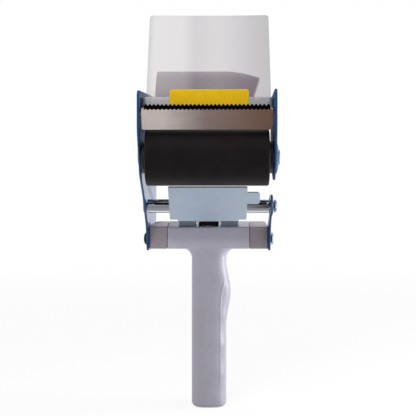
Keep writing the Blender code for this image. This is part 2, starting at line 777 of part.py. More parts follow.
def crossbar_rivet_axes():
    """Places of the two rivets through each end tab of the crossbar."""
    middle = UPRIGHT_Y + CROSSBAR_RIVET_MIDDLE
    height = UPRIGHT_TOP - UPRIGHT_HEIGHT / 2
    half = CROSSBAR_RIVET_PITCH / 2
    return [(middle - half, height), (middle + half, height)]


def make_crossbar():
    """Zinc plated channel between the side plates, with a raised middle and two end tabs."""
    profile = [FLANGE_BOTTOM, FLANGE_TOP, (UPRIGHT_Y, FLANGE_TOP.y), (UPRIGHT_Y, TAB_TOP)]
    to_upright = FLANGE_LENGTH + WEB_DEPTH
    edge = CROSSBAR_TAB_SIDE
    tab_left = LABEL_TAB_OFFSET - LABEL_TAB_WIDTH / 2
    tab_right = LABEL_TAB_OFFSET + LABEL_TAB_WIDTH / 2
    patches = [
        (-edge, edge, 0, to_upright + UPRIGHT_HEIGHT),
        (tab_left, tab_right, 0, to_upright + UPRIGHT_HEIGHT + LABEL_TAB_RISE),
    ]
    bar = sheet("crossbar", profile, patches, ZINC_THICKNESS)
    low = FLANGE_TOP.y - ZINC_THICKNESS / 2
    for side, label in ((-1, "left"), (1, "right")):
        ends = sorted(side * (edge + offset) for offset in (-ZINC_THICKNESS / 2, ZINC_THICKNESS / 2))
        tab = box(
            "crossbar_tab_" + label,
            (ends[0], UPRIGHT_Y - ZINC_THICKNESS / 2, low),
            (ends[1], UPRIGHT_Y + CROSSBAR_TAB_LENGTH, UPRIGHT_TOP),
        )
        join(bar, tab)
    for index, axis in enumerate(crossbar_rivet_axes()):
        cut(bar, bore_cutter("crossbar_rivet_bore_" + str(index), RIVET_RADIUS + CLEARANCE, axis))
    cut_flap_rivet_bores(bar, "crossbar")
    return bar


def make_crossbar_rivets():
    """Four rivets, flush outside and headed inside."""
    seat = CROSSBAR_TAB_SIDE - ZINC_THICKNESS / 2 - CLEARANCE
    for side, side_name in ((-1, "left"), (1, "right")):
        for axis, place in zip(crossbar_rivet_axes(), ("front", "rear")):
            name = "crossbar_rivet_" + side_name + "_" + place
            zinc_plate(small_rivet(name, axis, side * OUTER_SIDE, side * seat))


def make_cutter_blade():
    """Serrated strip that leans forward, teeth up."""
    half_teeth = TOOTH_COUNT * TOOTH_PITCH / 2
    half = BLADE_HALF_WIDTH
    root = BLADE_HEIGHT - TOOTH_DEPTH
    shoulder = BLADE_HEIGHT - BLADE_CORNER_DROP
    outline = [(-half, 0), (half, 0), (half, shoulder), (half_teeth, shoulder)]
    for index in range(TOOTH_COUNT):
        start = half_teeth - index * TOOTH_PITCH
        outline.append((start, root))
        outline.append((start - TOOTH_PITCH / 2, BLADE_HEIGHT))
    outline += [(-half_teeth, root), (-half_teeth, shoulder), (-half, shoulder)]
    location = (0, BLADE_FOOT.x, BLADE_FOOT.y)
    rotation = (QUARTER_TURN + BLADE_TILT, 0, 0)
    return flat_curve("cutter_blade", [outline], BLADE_THICKNESS, location, rotation)


def make_plain_label():
    """Plain sticker on the crossbar's raised middle."""
    face = UPRIGHT_Y - ZINC_THICKNESS / 2 - CLEARANCE
    low = (LABEL_TAB_OFFSET - LABEL_WIDTH / 2, face - LABEL_THICKNESS, SHEET_BOTTOM + LABEL_MARGIN)
    high = (LABEL_TAB_OFFSET + LABEL_WIDTH / 2, face, TAB_TOP - LABEL_MARGIN)
    return box("plain_label", low, high, collection=PARTS)


# Flap and its clamp bar

def leaning(foot_y, distance):
    """Place along a sheet that stands for its foot's height and then leans back."""
    bend = SHEET_BOTTOM + FLAP_FOOT
    if distance <= FLAP_FOOT:
        return foot_y, SHEET_BOTTOM + distance
    beyond = distance - FLAP_FOOT
    return foot_y + beyond * math.sin(FLAP_LEAN), bend + beyond * math.cos(FLAP_LEAN)


def make_tape_flap():
    """Clear flexible sheet with rounded top corners."""
    half = INNER_SIDE - FLAP_SIDE_GAP
    full = FLAP_FOOT + FLAP_LENGTH
    rows = [(0, half), (FLAP_FOOT, half)]
    for angle in np.linspace(0, QUARTER_TURN, ARC_STEPS):
        distance = full - FLAP_CORNER + FLAP_CORNER * math.sin(angle)
        rows.append((distance, half - FLAP_CORNER + FLAP_CORNER * math.cos(angle)))
    flap = strip("tape_flap", [(*leaning(FLAP_Y, s), -w, w) for s, w in rows], FLAP_THICKNESS)
    cut_flap_rivet_bores(flap, "tape_flap")
    return flap


def make_flap_clamp():
    """Bar that clamps the flap's foot to the crossbar."""
    half = CROSSBAR_TAB_SIDE - ZINC_THICKNESS / 2 - CLAMP_SIDE_GAP
    top = SHEET_BOTTOM + CLAMP_HEIGHT
    corners = [(-half, SHEET_BOTTOM), (half, SHEET_BOTTOM), (half, top), (-half, top)]
    outline = rounded([(x, z, CLAMP_CORNER) for x, z in corners])
    holes = [circle((x, z), RIVET_RADIUS + CLEARANCE) for x, z, side in flap_rivet_places()]
    return slab_y("flap_clamp", [outline, *holes], CLAMP_FRONT, CLAMP_BACK)


def flap_rivet_places():
    """Places of the two rivets behind the label, as (X, Z, side)."""
    height = SHEET_BOTTOM + FLAP_RIVET_HEIGHT
    return [(-FLAP_RIVET_SIDE, height, "left"), (FLAP_RIVET_SIDE, height, "right")]


def along_y(piece, x, z):
    """Turn a piece made along X so that it runs along Y through a place."""
    piece.rotation_euler = (-QUARTER_TURN, 0, 0)
    piece.location = (x, 0, z)
    return piece


def cut_flap_rivet_bores(piece, label):
    """Cut the two rivets' bores through a sheet."""
    start, end = UPRIGHT_Y - OVERRUN, CLAMP_BACK + OVERRUN
    for x, z, side in flap_rivet_places():
        name = label + "_rivet_bore_" + side
        bore = rod(name, RIVET_RADIUS + CLEARANCE, start, end, (0, 0), CUTTERS)
        cut(piece, along_y(bore, x, z))


def make_flap_rivets():
    """Rivets through crossbar, flap and clamp bar: flush in front and headed behind."""
    front = UPRIGHT_Y - ZINC_THICKNESS / 2
    back = CLAMP_BACK + CLEARANCE
    for x, z, side in flap_rivet_places():
        rivet = small_rivet("flap_rivet_" + side, (0, 0), front, back)
        zinc_plate(along_y(rivet, x, z))


# Roller

def make_roller_axle():
    """Axle riveted over at both ends."""
    right = OUTER_SIDE + CHEEK_BOSS_HEIGHT + CLEARANCE
    left = -OUTER_SIDE - CLEARANCE
    profile = dome(AXLE_HEAD_RADIUS, right, AXLE_HEAD_HEIGHT)
    profile += [(AXLE_RADIUS, right), (AXLE_RADIUS, left)]
    profile += bowl(AXLE_HEAD_RADIUS, left, AXLE_HEAD_HEIGHT)
    return turned("roller_axle", profile, ROLLER_AXIS, closed=False)


def make_roller_core():
    """Hollow plastic spool that turns on the axle."""
    half = ROLLER_LENGTH / 2
    outer = ROLLER_RADIUS - RUBBER_THICKNESS - CLEARANCE
    inner = outer - CORE_WALL
    bore = AXLE_RADIUS + CLEARANCE
    wall = half - CORE_END_WALL
    profile = [
        (outer, half), (outer, -half), (bore, -half), (bore, -wall),
        (inner, -wall), (inner, wall), (bore, wall), (bore, half),
    ]
    return turned("roller_core", profile, ROLLER_AXIS, closed=True)


def make_roller_sleeve():
    """Rubber cover of the roller, with softened ends."""
    half = ROLLER_LENGTH / 2
    inner = ROLLER_RADIUS - RUBBER_THICKNESS
    ease = RUBBER_THICKNESS / 6
    profile = [
        (ROLLER_RADIUS - ease, half), (ROLLER_RADIUS, half - ease),
        (ROLLER_RADIUS, ease - half), (ROLLER_RADIUS - ease, -half),
        (inner, -half), (inner, half),
    ]
    return turned("roller_sleeve", profile, ROLLER_AXIS, closed=True, steps=DRUM_STEPS)


def make_axle_spacers():
    """Spacers between the roller's ends and the plates."""
    start = ROLLER_LENGTH / 2 + CLEARANCE
    end = start + SPACER_LENGTH
    bore = AXLE_RADIUS + CLEARANCE
    black_plastic(ring("axle_spacer_left", SPACER_RADIUS, bore, -end, -start, ROLLER_AXIS))
    black_plastic(ring("axle_spacer_right", SPACER_RADIUS, bore, start, end, ROLLER_AXIS))


# Guide rod

def nut_seat():
    """Station of the dome nuts' seats on the right hand bosses."""
    return OUTER_SIDE + SMALL_BOSS_HEIGHT + CLEARANCE


def make_rod_axle():
    """Fixed axle of the guide rod, riveted on the left."""
    left = -OUTER_SIDE - CLEARANCE
    right = nut_seat() + DOME_NUT_HEIGHT - DOME_NUT_WALL * 2
    head = AXLE_HEAD_RADIUS - AXLE_HEAD_HEIGHT
    return headed_bar("rod_axle", ROD_AXIS, ROD_AXLE_RADIUS, right, left, head, AXLE_HEAD_HEIGHT)


def make_one_way_rod():
    """Chrome tube with a seat in each end for the clutch and the bush."""
    half = INNER_SIDE - CLEARANCE * 2
    seat = CLUTCH_RADIUS + CLEARANCE
    step = half - CLUTCH_LENGTH - CLEARANCE
    profile = [
        (ROD_RADIUS, half), (ROD_RADIUS, -half), (seat, -half), (seat, -step),
        (ROD_BORE_RADIUS, -step), (ROD_BORE_RADIUS, step), (seat, step), (seat, half),
    ]
    return turned("one_way_rod", profile, ROD_AXIS, closed=True)


def make_rod_ends():
    """One-way clutch in the rod's left end and plain bush in its right end."""
    half = INNER_SIDE - CLEARANCE * 2
    inner = half - CLUTCH_LENGTH
    bore = ROD_AXLE_RADIUS + CLEARANCE
    bare_steel(ring("rod_clutch", CLUTCH_RADIUS, bore, -half, -inner, ROD_AXIS))
    black_plastic(ring("rod_bush", CLUTCH_RADIUS, bore, inner, half, ROD_AXIS))


def dome_nut(name, axis, thread_radius):
    """Blind dome nut on a right hand boss."""
    seat = nut_seat()
    bore = thread_radius + CLEARANCE
    bore_end = seat + DOME_NUT_HEIGHT - DOME_NUT_WALL
    profile = dome(DOME_NUT_RADIUS, seat, DOME_NUT_HEIGHT)
    profile += [(bore, seat), (bore, bore_end - DOME_NUT_WALL / 2), (0, bore_end - DOME_NUT_WALL / 2)]
    return turned(name, profile, axis, closed=False)


# Keeper plate

def make_keeper_plate():
    """Keeper: pad before the rod, web over the cross head and two arms down to the pin."""
    pin_y, pin_z = PIN_AXIS
    eye_radius = PIN_RADIUS + CLEARANCE + EYE_WALL
    profile = [PAD_TOP, PAD_BOTTOM, (pin_y, WEB_HEIGHT), (pin_y, pin_z + PIN_RADIUS + CLEARANCE * 2)]
    pad = KEEPER_ABOVE_ROD + KEEPER_BELOW_ROD
    web = pad + pin_y - PAD_BOTTOM.x
    riser = web + WEB_HEIGHT - pin_z - PIN_RADIUS - CLEARANCE * 2
    half = KEEPER_WIDTH / 2
    arm_inner = POCKET_INNER_SIDE + CLEARANCE
    arm_outer = POCKET_OUTER_SIDE - CLEARANCE
    tab = (half - OVERRUN, half + KEEPER_TAB_REACH, KEEPER_TAB_TOP, KEEPER_TAB_TOP + KEEPER_TAB_LENGTH)
    patches = [
        (-half, half, 0, pad),
        tab,
        (-arm_outer, arm_outer, pad, web),
        (-arm_outer, -arm_inner, web, riser),
        (arm_inner, arm_outer, web, riser),
    ]
    keeper = sheet("keeper_plate", profile, patches, KEEPER_THICKNESS, (0, pin_y, pin_z))
    for side, start, end in (("left", -arm_outer, -arm_inner), ("right", arm_inner, arm_outer)):
        join(keeper, rod("keeper_eye_" + side, eye_radius, start, end, PIN_AXIS, CUTTERS))
    cut(keeper, bore_cutter("keeper_pin_bore", PIN_RADIUS + CLEARANCE, PIN_AXIS))
    return keeper


def make_keeper_pin():
    """Hinge pin through the cross head."""
    half = HEAD_BLOCK_WIDTH / 2 - CLEARANCE
    return rod("keeper_pin", PIN_RADIUS, -half, half, PIN_AXIS)


def make_keeper_spring():
    """Torsion spring on the pin: one leg down into the slot, one forward under the web."""
    pin_y, pin_z = PIN_AXIS
    radius = KEEPER_COIL_RADIUS
    start_x = -KEEPER_COIL_PITCH * KEEPER_COIL_TURNS / 2
    steps = round(KEEPER_COIL_TURNS * CURL_POINTS)
    points = [(start_x, pin_y + radius, pin_z - KEEPER_FIXED_LEG)]
    for share in np.linspace(0, 1, steps + 1):
        angle = share * KEEPER_COIL_TURNS * FULL_TURN
        x = start_x + share * KEEPER_COIL_TURNS * KEEPER_COIL_PITCH
        points.append((x, pin_y + radius * math.cos(angle), pin_z + radius * math.sin(angle)))
    leg_height = WEB_HEIGHT - KEEPER_THICKNESS / 2 - CLEARANCE - KEEPER_WIRE / 2
    leg_end = pin_y - KEEPER_MOVING_LEG
    points.append((-start_x, leg_end + KEEPER_MOVING_LEG / 2, leg_height))
    points.append((-start_x, leg_end, leg_height))
    report_least_gap("keeper_spring", points, KEEPER_WIRE / 2, CURL_POINTS)
    return wire("keeper_spring", points, KEEPER_WIRE / 2)


# Handle

def grip_half_width(height):
    """Half width of the grip, which flares into the cross head."""
    half = GRIP_WIDTH / 2
    if height < GRIP_END_ROUND:
        return half - GRIP_END_ROUND + round_off(GRIP_END_ROUND - height, GRIP_END_ROUND)
    from_head = HEAD_BOTTOM - height
    if from_head < NECK_ROUND:
        return half + NECK_ROUND - round_off(NECK_ROUND - from_head, NECK_ROUND)
    return half


def grip_half_depth(height):
    """Half depth of the grip, rounded at its end."""
    half = GRIP_DEPTH / 2
    if height < GRIP_END_ROUND:
        return half - GRIP_END_ROUND + round_off(GRIP_END_ROUND - height, GRIP_END_ROUND)
    from_head = max(HEAD_BOTTOM - height, 0)
    ease = min(from_head / NECK_ROUND, 1)
    return HEAD_DEPTH / 2 - HEAD_EDGE_ROUND + (half - HEAD_DEPTH / 2 + HEAD_EDGE_ROUND) * ease


def round_off(distance, radius):
    """Height of a quarter circle at a distance from its middle."""
    return math.sqrt(max(radius * radius - distance * distance, 0))


def thumb_swell(height):
    """Extra width on the right for the thumb."""
    share = (height - THUMB_HEIGHT) / THUMB_HALF_SPAN
    return THUMB_SWELL * math.cos(share * QUARTER_TURN) ** 2 if abs(share) < 1 else 0


def finger_scallop(height):
    """Depth of the finger hollows along the front right corner."""
    span = FINGER_COUNT * FINGER_PITCH
    start = (THUMB_HEIGHT - span) / 2 + GRIP_END_ROUND
    share = (height - start) / FINGER_PITCH
    return FINGER_SCALLOP * math.sin(share * HALF_TURN) ** 2 if 0 < share < FINGER_COUNT else 0


def grip_section(height):
    """Points round the grip at a height, as a squared ellipse."""
    half_x, half_y = grip_half_width(height), grip_half_depth(height)
    swell, scallop = thumb_swell(height), finger_scallop(height)
    points = []
    for angle in np.linspace(0, FULL_TURN, GRIP_SECTION_POINTS, endpoint=False):
        c, s = math.cos(angle), math.sin(angle)
        power = 2 / GRIP_CORNER_POWER
        x = half_x * math.copysign(abs(c) ** power, c)
        y = half_y * math.copysign(abs(s) ** power, s)
        rightness = max(c, 0)
        x += swell * rightness
        corner = max(c, 0) * max(-s, 0) * 2
        points.append((x - scallop * corner, y + scallop * corner, height))
    return points


def grip_heights():
    """Heights of the grip's sections: close at both rounds, even between them."""
    end_angles = np.linspace(0, QUARTER_TURN, ARC_STEPS)
    low = [GRIP_END_ROUND * (1 - math.cos(a)) for a in end_angles]
    neck = [HEAD_BOTTOM - NECK_ROUND + NECK_ROUND * math.sin(a) for a in end_angles]
    spacing = FINGER_PITCH / 3
    count = round((neck[0] - low[-1]) / spacing)
    middle = np.linspace(low[-1], neck[0], count + 1)[1:-1]
    return [*low, *middle, *neck, HEAD_BOTTOM + HEAD_EDGE_ROUND * 2]


def make_grip():
    """Grip lofted through its sections."""
    shape = bmesh.new()
    rings = [[shape.verts.new(p) for p in grip_section(h)] for h in grip_heights()]
    count = GRIP_SECTION_POINTS
    for lower, upper in zip(rings, rings[1:]):
        for i in range(count):
            shape.faces.new((lower[i], lower[(i + 1) % count], upper[(i + 1) % count], upper[i]))
    shape.faces.new(list(reversed(rings[0])))
    shape.faces.new(rings[-1])
    mesh = bpy.data.meshes.new("grip")
    shape.to_mesh(mesh)
    shape.free()
    smooth(mesh)
    return link_piece("grip", mesh, collection=CUTTERS)


def head_outline():
    """Section of the cross head, whose top slopes up towards the rear."""
    return rounded([
        (HEAD_FRONT, HEAD_BOTTOM, HEAD_EDGE_ROUND),
        (HEAD_REAR, HEAD_BOTTOM, HEAD_EDGE_ROUND),
        (HEAD_REAR, HEAD_REAR_TOP, HEAD_EDGE_ROUND * 2),
        (HEAD_FRONT, HEAD_FRONT_TOP, HEAD_EDGE_ROUND),
    ])


def make_handle():
    """Cross head and grip in one moulding, with pockets for the keeper's arms and spring."""
    half = HEAD_BLOCK_WIDTH / 2
    handle = as_mesh(slab_x("handle", [head_outline()], -half, half))
    join(handle, make_grip())
    pin_y, pin_z = PIN_AXIS
    front, rear = pin_y - POCKET_LENGTH / 2, pin_y + POCKET_LENGTH / 2
    floor = HEAD_FRONT_TOP - POCKET_DEPTH
    top = HEAD_REAR_TOP + OVERRUN
    slot = SPRING_SLOT_WIDTH / 2
    spans = [
        ("left_pocket", -POCKET_OUTER_SIDE, -POCKET_INNER_SIDE),
        ("spring_slot", -slot, slot),
        ("right_pocket", POCKET_INNER_SIDE, POCKET_OUTER_SIDE),
    ]
    for name, start, end in spans:
        cut(handle, box(name, (start, front, floor), (end, rear, top)))
    cut(handle, bore_cutter("head_pin_bore", PIN_RADIUS + CLEARANCE, PIN_AXIS))
    cut(handle, bore_cutter("head_tie_bore", TIE_RADIUS + CLEARANCE, TIE_AXIS))
    return handle


def make_end_caps():
    """End pieces of the cross head, each with its top outer corner rounded."""
    seam = HEAD_BLOCK_WIDTH / 2 + CLEARANCE
    end = INNER_SIDE - CLEARANCE
    for side, label, corner in ((-1, "left", CAP_CORNER_LEFT), (1, "right", CAP_CORNER_RIGHT)):
        start, stop = sorted((side * seam, side * end))
        cap = as_mesh(slab_x("end_cap_" + label, [head_outline()], start, stop))
        outline = rounded([
            (side * (seam - OVERRUN), HEAD_BOTTOM - OVERRUN, 0),
            (side * end, HEAD_BOTTOM - OVERRUN, 0),
            (side * end, HEAD_REAR_TOP, corner),
            (side * (seam - OVERRUN), HEAD_REAR_TOP, 0),
        ])
        shape = slab_y("cap_shape_" + label, [outline], HEAD_FRONT - OVERRUN, HEAD_REAR + OVERRUN)
        combine(cap, as_mesh(shape, collection=CUTTERS), "INTERSECT")
        cut(cap, bore_cutter("cap_bore_" + label, TIE_RADIUS + CLEARANCE, TIE_AXIS))
        cap_plastic(cap)


def make_tie_bolt():
    """Bolt through both plates and the cross head, dome head on the left."""
    left = -OUTER_SIDE - CLEARANCE
    right = nut_seat() + DOME_NUT_HEIGHT - DOME_NUT_WALL * 2
    return headed_bar("tie_bolt", TIE_AXIS, TIE_RADIUS, right, left, TIE_HEAD_RADIUS, TIE_HEAD_HEIGHT)


# Roll hub and brake

def make_hub_bolt():
    """Fixed bolt that carries the hub, hexagon head outside the left plate."""
    head_end = -OUTER_SIDE - CLEARANCE
    outline = [hexagon(HUB_AXIS, HUB_NUT_FLATS)]
    bolt = as_mesh(slab_x("hub_bolt", outline, head_end - HUB_NUT_THICKNESS, head_end))
    shank = rod("hub_shank", HUB_BOLT_RADIUS, head_end - OVERRUN, HUB_BOLT_END, HUB_AXIS, CUTTERS)
    join(bolt, shank)
    return bolt


def make_hub_lock_nut():
    """Nut that clamps the bolt to the plate."""
    outlines = [hexagon(HUB_AXIS, HUB_NUT_FLATS), circle(HUB_AXIS, HUB_BOLT_RADIUS + CLEARANCE)]
    return slab_x("hub_lock_nut", outlines, NUT_START, NUT_START + HUB_NUT_THICKNESS)


def hub_washer(name, radius, start, thickness):
    """Washer on the hub bolt."""
    return ring(name, radius, HUB_BOLT_RADIUS + CLEARANCE, start, start + thickness, HUB_AXIS)


def drum_lead_in(radius):
    """Rounded lead-in of the drum's free end, from the tip to the full radius."""
    shares = np.linspace(1, 0, ARC_STEPS + 1)
    drops = [DRUM_LEAD_DROP * (1 - math.cos(share * QUARTER_TURN)) for share in shares]
    return [(radius - d, DRUM_LEAD_START + DRUM_LEAD_LENGTH * s) for d, s in zip(drops, shares)]


def slope_free_end(mesh):
    """Slope the drum's free end in flats, with a point at the top and one for every rib."""
    lobe = FULL_TURN / DRUM_RIB_COUNT
    for vertex in mesh.vertices:
        share = max((vertex.co.z - DRUM_LEAD_START) / DRUM_LEAD_LENGTH, 0)
        from_top = math.atan2(vertex.co.y, -vertex.co.x)
        from_point = abs((from_top + lobe / 2) % lobe - lobe / 2)
        depth_share = (1 - math.cos(from_point)) / (1 - math.cos(lobe / 2))
        vertex.co.z -= DRUM_NOTCH_DEPTH * depth_share * share


def drum_block(name, index, start, end, width, radius):
    """Block that stands out of the drum's wall, one of a set spaced evenly round it."""
    low = DRUM_RADIUS - DRUM_WALL * 3 / 4
    block = box(name + str(index), (start, -width / 2, low), (end, width / 2, radius))
    block.location = (0, *HUB_AXIS)
    block.rotation_euler = (DRUM_RIB_BEARING + index * FULL_TURN / DRUM_RIB_COUNT, 0, 0)
    return block


def make_hub_drum():
    """Drum for a 76 mm tape core, with ribs, stop ears on the left and a brake cup."""
    outer, cup = DRUM_RADIUS, DRUM_RADIUS - DRUM_WALL
    bore = HUB_BOLT_RADIUS + CLEARANCE
    web_middle = (BOSS_START + BOSS_END) / 2
    web_left, web_right = web_middle - DRUM_WEB_THICKNESS / 2, web_middle + DRUM_WEB_THICKNESS / 2
    profile = [
        *drum_lead_in(outer),
        (outer, DRUM_START + DRUM_EASE * 2), (outer - DRUM_EASE, DRUM_START),
        (cup, DRUM_START), (cup, web_left),
        (DRUM_BOSS_RADIUS, web_left), (DRUM_BOSS_RADIUS, BOSS_START),
        (bore, BOSS_START), (bore, BOSS_END),
        (DRUM_BOSS_RADIUS, BOSS_END), (DRUM_BOSS_RADIUS, web_right),
        (cup, web_right), *reversed(drum_lead_in(cup)),
    ]
    drum = as_mesh(turned("hub_drum", profile, HUB_AXIS, closed=True, steps=DRUM_STEPS))
    slope_free_end(drum.data)
    rib = (DRUM_START, DRUM_LEAD_START, DRUM_RIB_WIDTH, DRUM_RIB_RADIUS)
    ear_end = DRUM_START + DRUM_EAR_SEAT
    ear = (ear_end - DRUM_EAR_THICKNESS, ear_end, DRUM_EAR_WIDTH, DRUM_EAR_RADIUS)
    for index in range(DRUM_RIB_COUNT):
        join(drum, drum_block("drum_rib_", index, *rib))
        join(drum, drum_block("drum_ear_", index, *ear))
    return drum


def make_brake_spring():
    """Compression spring that presses the brake together; its ends run straight along the bolt."""
    hub_y, hub_z = HUB_AXIS
    first = BRAKE_SPRING_START + BRAKE_WIRE
    last = BRAKE_SPRING_END - BRAKE_WIRE
    radius = BRAKE_COIL_RADIUS
    steps = round(BRAKE_COIL_TURNS * CURL_POINTS)
    points = [(BRAKE_SPRING_START, hub_y + radius, hub_z)]
    for share in np.linspace(0, 1, steps + 1):
        angle = share * BRAKE_COIL_TURNS * FULL_TURN
        x = first + share * (last - first)
        points.append((x, hub_y + radius * math.cos(angle), hub_z + radius * math.sin(angle)))
    points.append((BRAKE_SPRING_END, *points[-1][1:]))
    report_least_gap("brake_spring", points, BRAKE_WIRE / 2, CURL_POINTS)
    return wire("brake_spring", points, BRAKE_WIRE / 2)


def make_brake_knob():
    """Lobed knob nut that sets the brake, with a collar and a blind thread."""
    outline = []
    for angle in np.linspace(0, FULL_TURN, KNOB_LOBES * ARC_STEPS, endpoint=False):
        radius = KNOB_RADIUS - KNOB_LOBE_DEPTH * math.sin(angle * KNOB_LOBES / 2) ** 2
        outline.append(away((0, 0), radius, angle))
    middle = ((KNOB_GRIP_START + KNOB_END) / 2, *HUB_AXIS)
    rotation = (QUARTER_TURN, 0, QUARTER_TURN)
    knob = as_mesh(flat_curve("brake_knob", [outline], KNOB_LENGTH, middle, rotation))
    collar_end = KNOB_GRIP_START + OVERRUN
    join(knob, rod("knob_collar", KNOB_COLLAR_RADIUS, KNOB_START, collar_end, HUB_AXIS, CUTTERS))
    bore = HUB_BOLT_RADIUS + CLEARANCE
    cut(knob, rod("knob_bore", bore, KNOB_START - OVERRUN, KNOB_BORE_END, HUB_AXIS, CUTTERS))
    return knob


# Assembly

def build_frame():
    """Side plates, crossbar, cutter, label and flap."""
    blue_paint(make_side_plate_left())
    blue_paint(make_cheek_plate_right())
    blue_paint(make_side_plate_right_lower())
    zinc_plate(make_crossbar())
    make_crossbar_rivets()
    bare_steel(make_cutter_blade())
    yellow_film(make_plain_label())
    clear_film(make_tape_flap())
    zinc_plate(make_flap_clamp())
    make_flap_rivets()


def build_roller():
    """Rubber covered roller on its axle."""
    zinc_plate(make_roller_axle())
    black_plastic(make_roller_core())
    black_rubber(make_roller_sleeve())
    make_axle_spacers()


def build_guide_rod():
    """Chrome rod on its axle."""
    bare_steel(make_rod_axle())
    chrome(make_one_way_rod())
    make_rod_ends()
    chrome(dome_nut("rod_cap_nut", ROD_AXIS, ROD_AXLE_RADIUS))


def build_keeper():
    """Keeper plate, its pin and spring."""
    zinc_plate(make_keeper_plate())
    bare_steel(make_keeper_pin())
    black_oxide(make_keeper_spring())


def build_handle():
    """Handle, end caps and the bolt that ties the plates to it."""
    grey_plastic(make_handle())
    make_end_caps()
    black_oxide(make_tie_bolt())
    zinc_plate(dome_nut("tie_cap_nut", TIE_AXIS, TIE_RADIUS))


def build_hub():
    """Roll hub with its brake."""
    zinc_plate(make_hub_bolt())
    zinc_plate(make_hub_lock_nut())
    black_plastic(hub_washer("hub_spacer", HUB_SPACER_RADIUS, HUB_SPACER_START, HUB_SPACER_LENGTH))
    grey_plastic(make_hub_drum())
    fibre(hub_washer("friction_disc", FRICTION_RADIUS, FRICTION_START, FRICTION_THICKNESS))
    zinc_plate(hub_washer("pressure_washer", PRESSURE_RADIUS, PRESSURE_START, PRESSURE_THICKNESS))
    bare_steel(make_brake_spring())
    zinc_plate(hub_washer("spring_washer", PRESSURE_RADIUS, TOP_WASHER_START, PRESSURE_THICKNESS))
    black_plastic(make_brake_knob())


def main():
    """Build the whole dispenser."""
    build_frame()
    build_roller()
    build_guide_rod()
    build_keeper()
    build_handle()
    build_hub()


main()
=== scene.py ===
"""Looks of a hand-held packing tape dispenser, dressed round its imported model.

X runs to the right and Z up as the cutter faces the viewer, and Y runs away from the viewer.
All sizes are in metres. Every surface is worked out as whole arrays before it becomes a mesh.
"""

import logging
import math
from collections.abc import Callable, Sequence
from dataclasses import dataclass, field
from enum import Enum
from functools import cache

import bmesh
import bpy
import numpy as np
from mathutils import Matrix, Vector
from mathutils.geometry import delaunay_2d_cdt


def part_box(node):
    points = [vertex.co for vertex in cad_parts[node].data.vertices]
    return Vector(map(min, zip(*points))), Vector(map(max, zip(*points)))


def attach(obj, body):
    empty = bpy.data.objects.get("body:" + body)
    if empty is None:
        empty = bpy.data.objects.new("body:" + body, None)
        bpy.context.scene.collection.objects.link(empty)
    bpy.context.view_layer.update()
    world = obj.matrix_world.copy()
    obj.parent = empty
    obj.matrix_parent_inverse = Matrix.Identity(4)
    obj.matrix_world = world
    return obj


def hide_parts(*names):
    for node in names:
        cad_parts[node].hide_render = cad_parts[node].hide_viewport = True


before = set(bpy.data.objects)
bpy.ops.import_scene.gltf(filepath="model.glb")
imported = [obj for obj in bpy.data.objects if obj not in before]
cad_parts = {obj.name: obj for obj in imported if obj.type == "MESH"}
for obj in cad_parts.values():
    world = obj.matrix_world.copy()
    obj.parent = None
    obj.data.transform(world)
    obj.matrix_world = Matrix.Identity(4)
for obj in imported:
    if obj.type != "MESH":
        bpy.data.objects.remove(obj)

LOG = logging.getLogger("dispenser")
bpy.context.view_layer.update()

Array = np.ndarray
Pair = tuple[float, float]
Corner = tuple[float, float, float]
Colour = tuple[float, float, float]
Place = Callable[[Array, Array, Array], Array]
Relief = Callable[[Array, Array], Array]
Turning = Callable[[Array, Array, Array], tuple[Array, Array]]
Piece = bpy.types.Object
Socket = bpy.types.NodeSocket

# Points nearer than MERGE become one, and GAP is the room between a shaft and its bore.
MM = 0.001
MERGE = 0.002 * MM
GAP = 0.3 * MM
TURN = 2 * math.pi
SHARP = math.radians(38)
ROUND_STEPS = 96
SMALL_STEPS = 48
CORNER_STEPS = 8
RIM_STEPS = 4
RIM_RADIUS = 0.35 * MM
LATTICE_CLEARANCE = 0.6
DOME_RINGS = (0.45, 0.65, 0.8, 0.9, 0.96, 0.99, 1.01, 1.12)
SOFT_EDGE = 0.15 * MM
GRAIN_DEPTH = 0.05 * MM
WHITE = (1, 1, 1)
# Painted shade: near black for the handle's spring slot.
SLOT_SHADE = (0.004, 0.004, 0.005)
# Painted shadow: the dark colour along the keeper's top edge.
EDGE_SHADOW = (0.05, 0.045, 0.05)


class Side(Enum):
    """Side of the dispenser, with the sign of its X."""

    LEFT = -1
    RIGHT = 1

    def word(self) -> str:
        """The side's word in the names of nodes and pieces."""
        return self.name.lower()


class Fold(Enum):
    """View in which a folded sheet shows its folding line, with the line's two coordinates."""

    SIDE = "YZ"
    PLAN = "XY"


class Cut(Enum):
    """What a helper does to a piece, in the Boolean modifier's words."""

    JOIN = "UNION"
    REMOVE = "DIFFERENCE"
    KEEP = "INTERSECT"


class Blend(Enum):
    """Ways to mix two colours, in the Mix node's words."""

    PLAIN = "MIX"
    MULTIPLY = "MULTIPLY"


# Outlines and lines

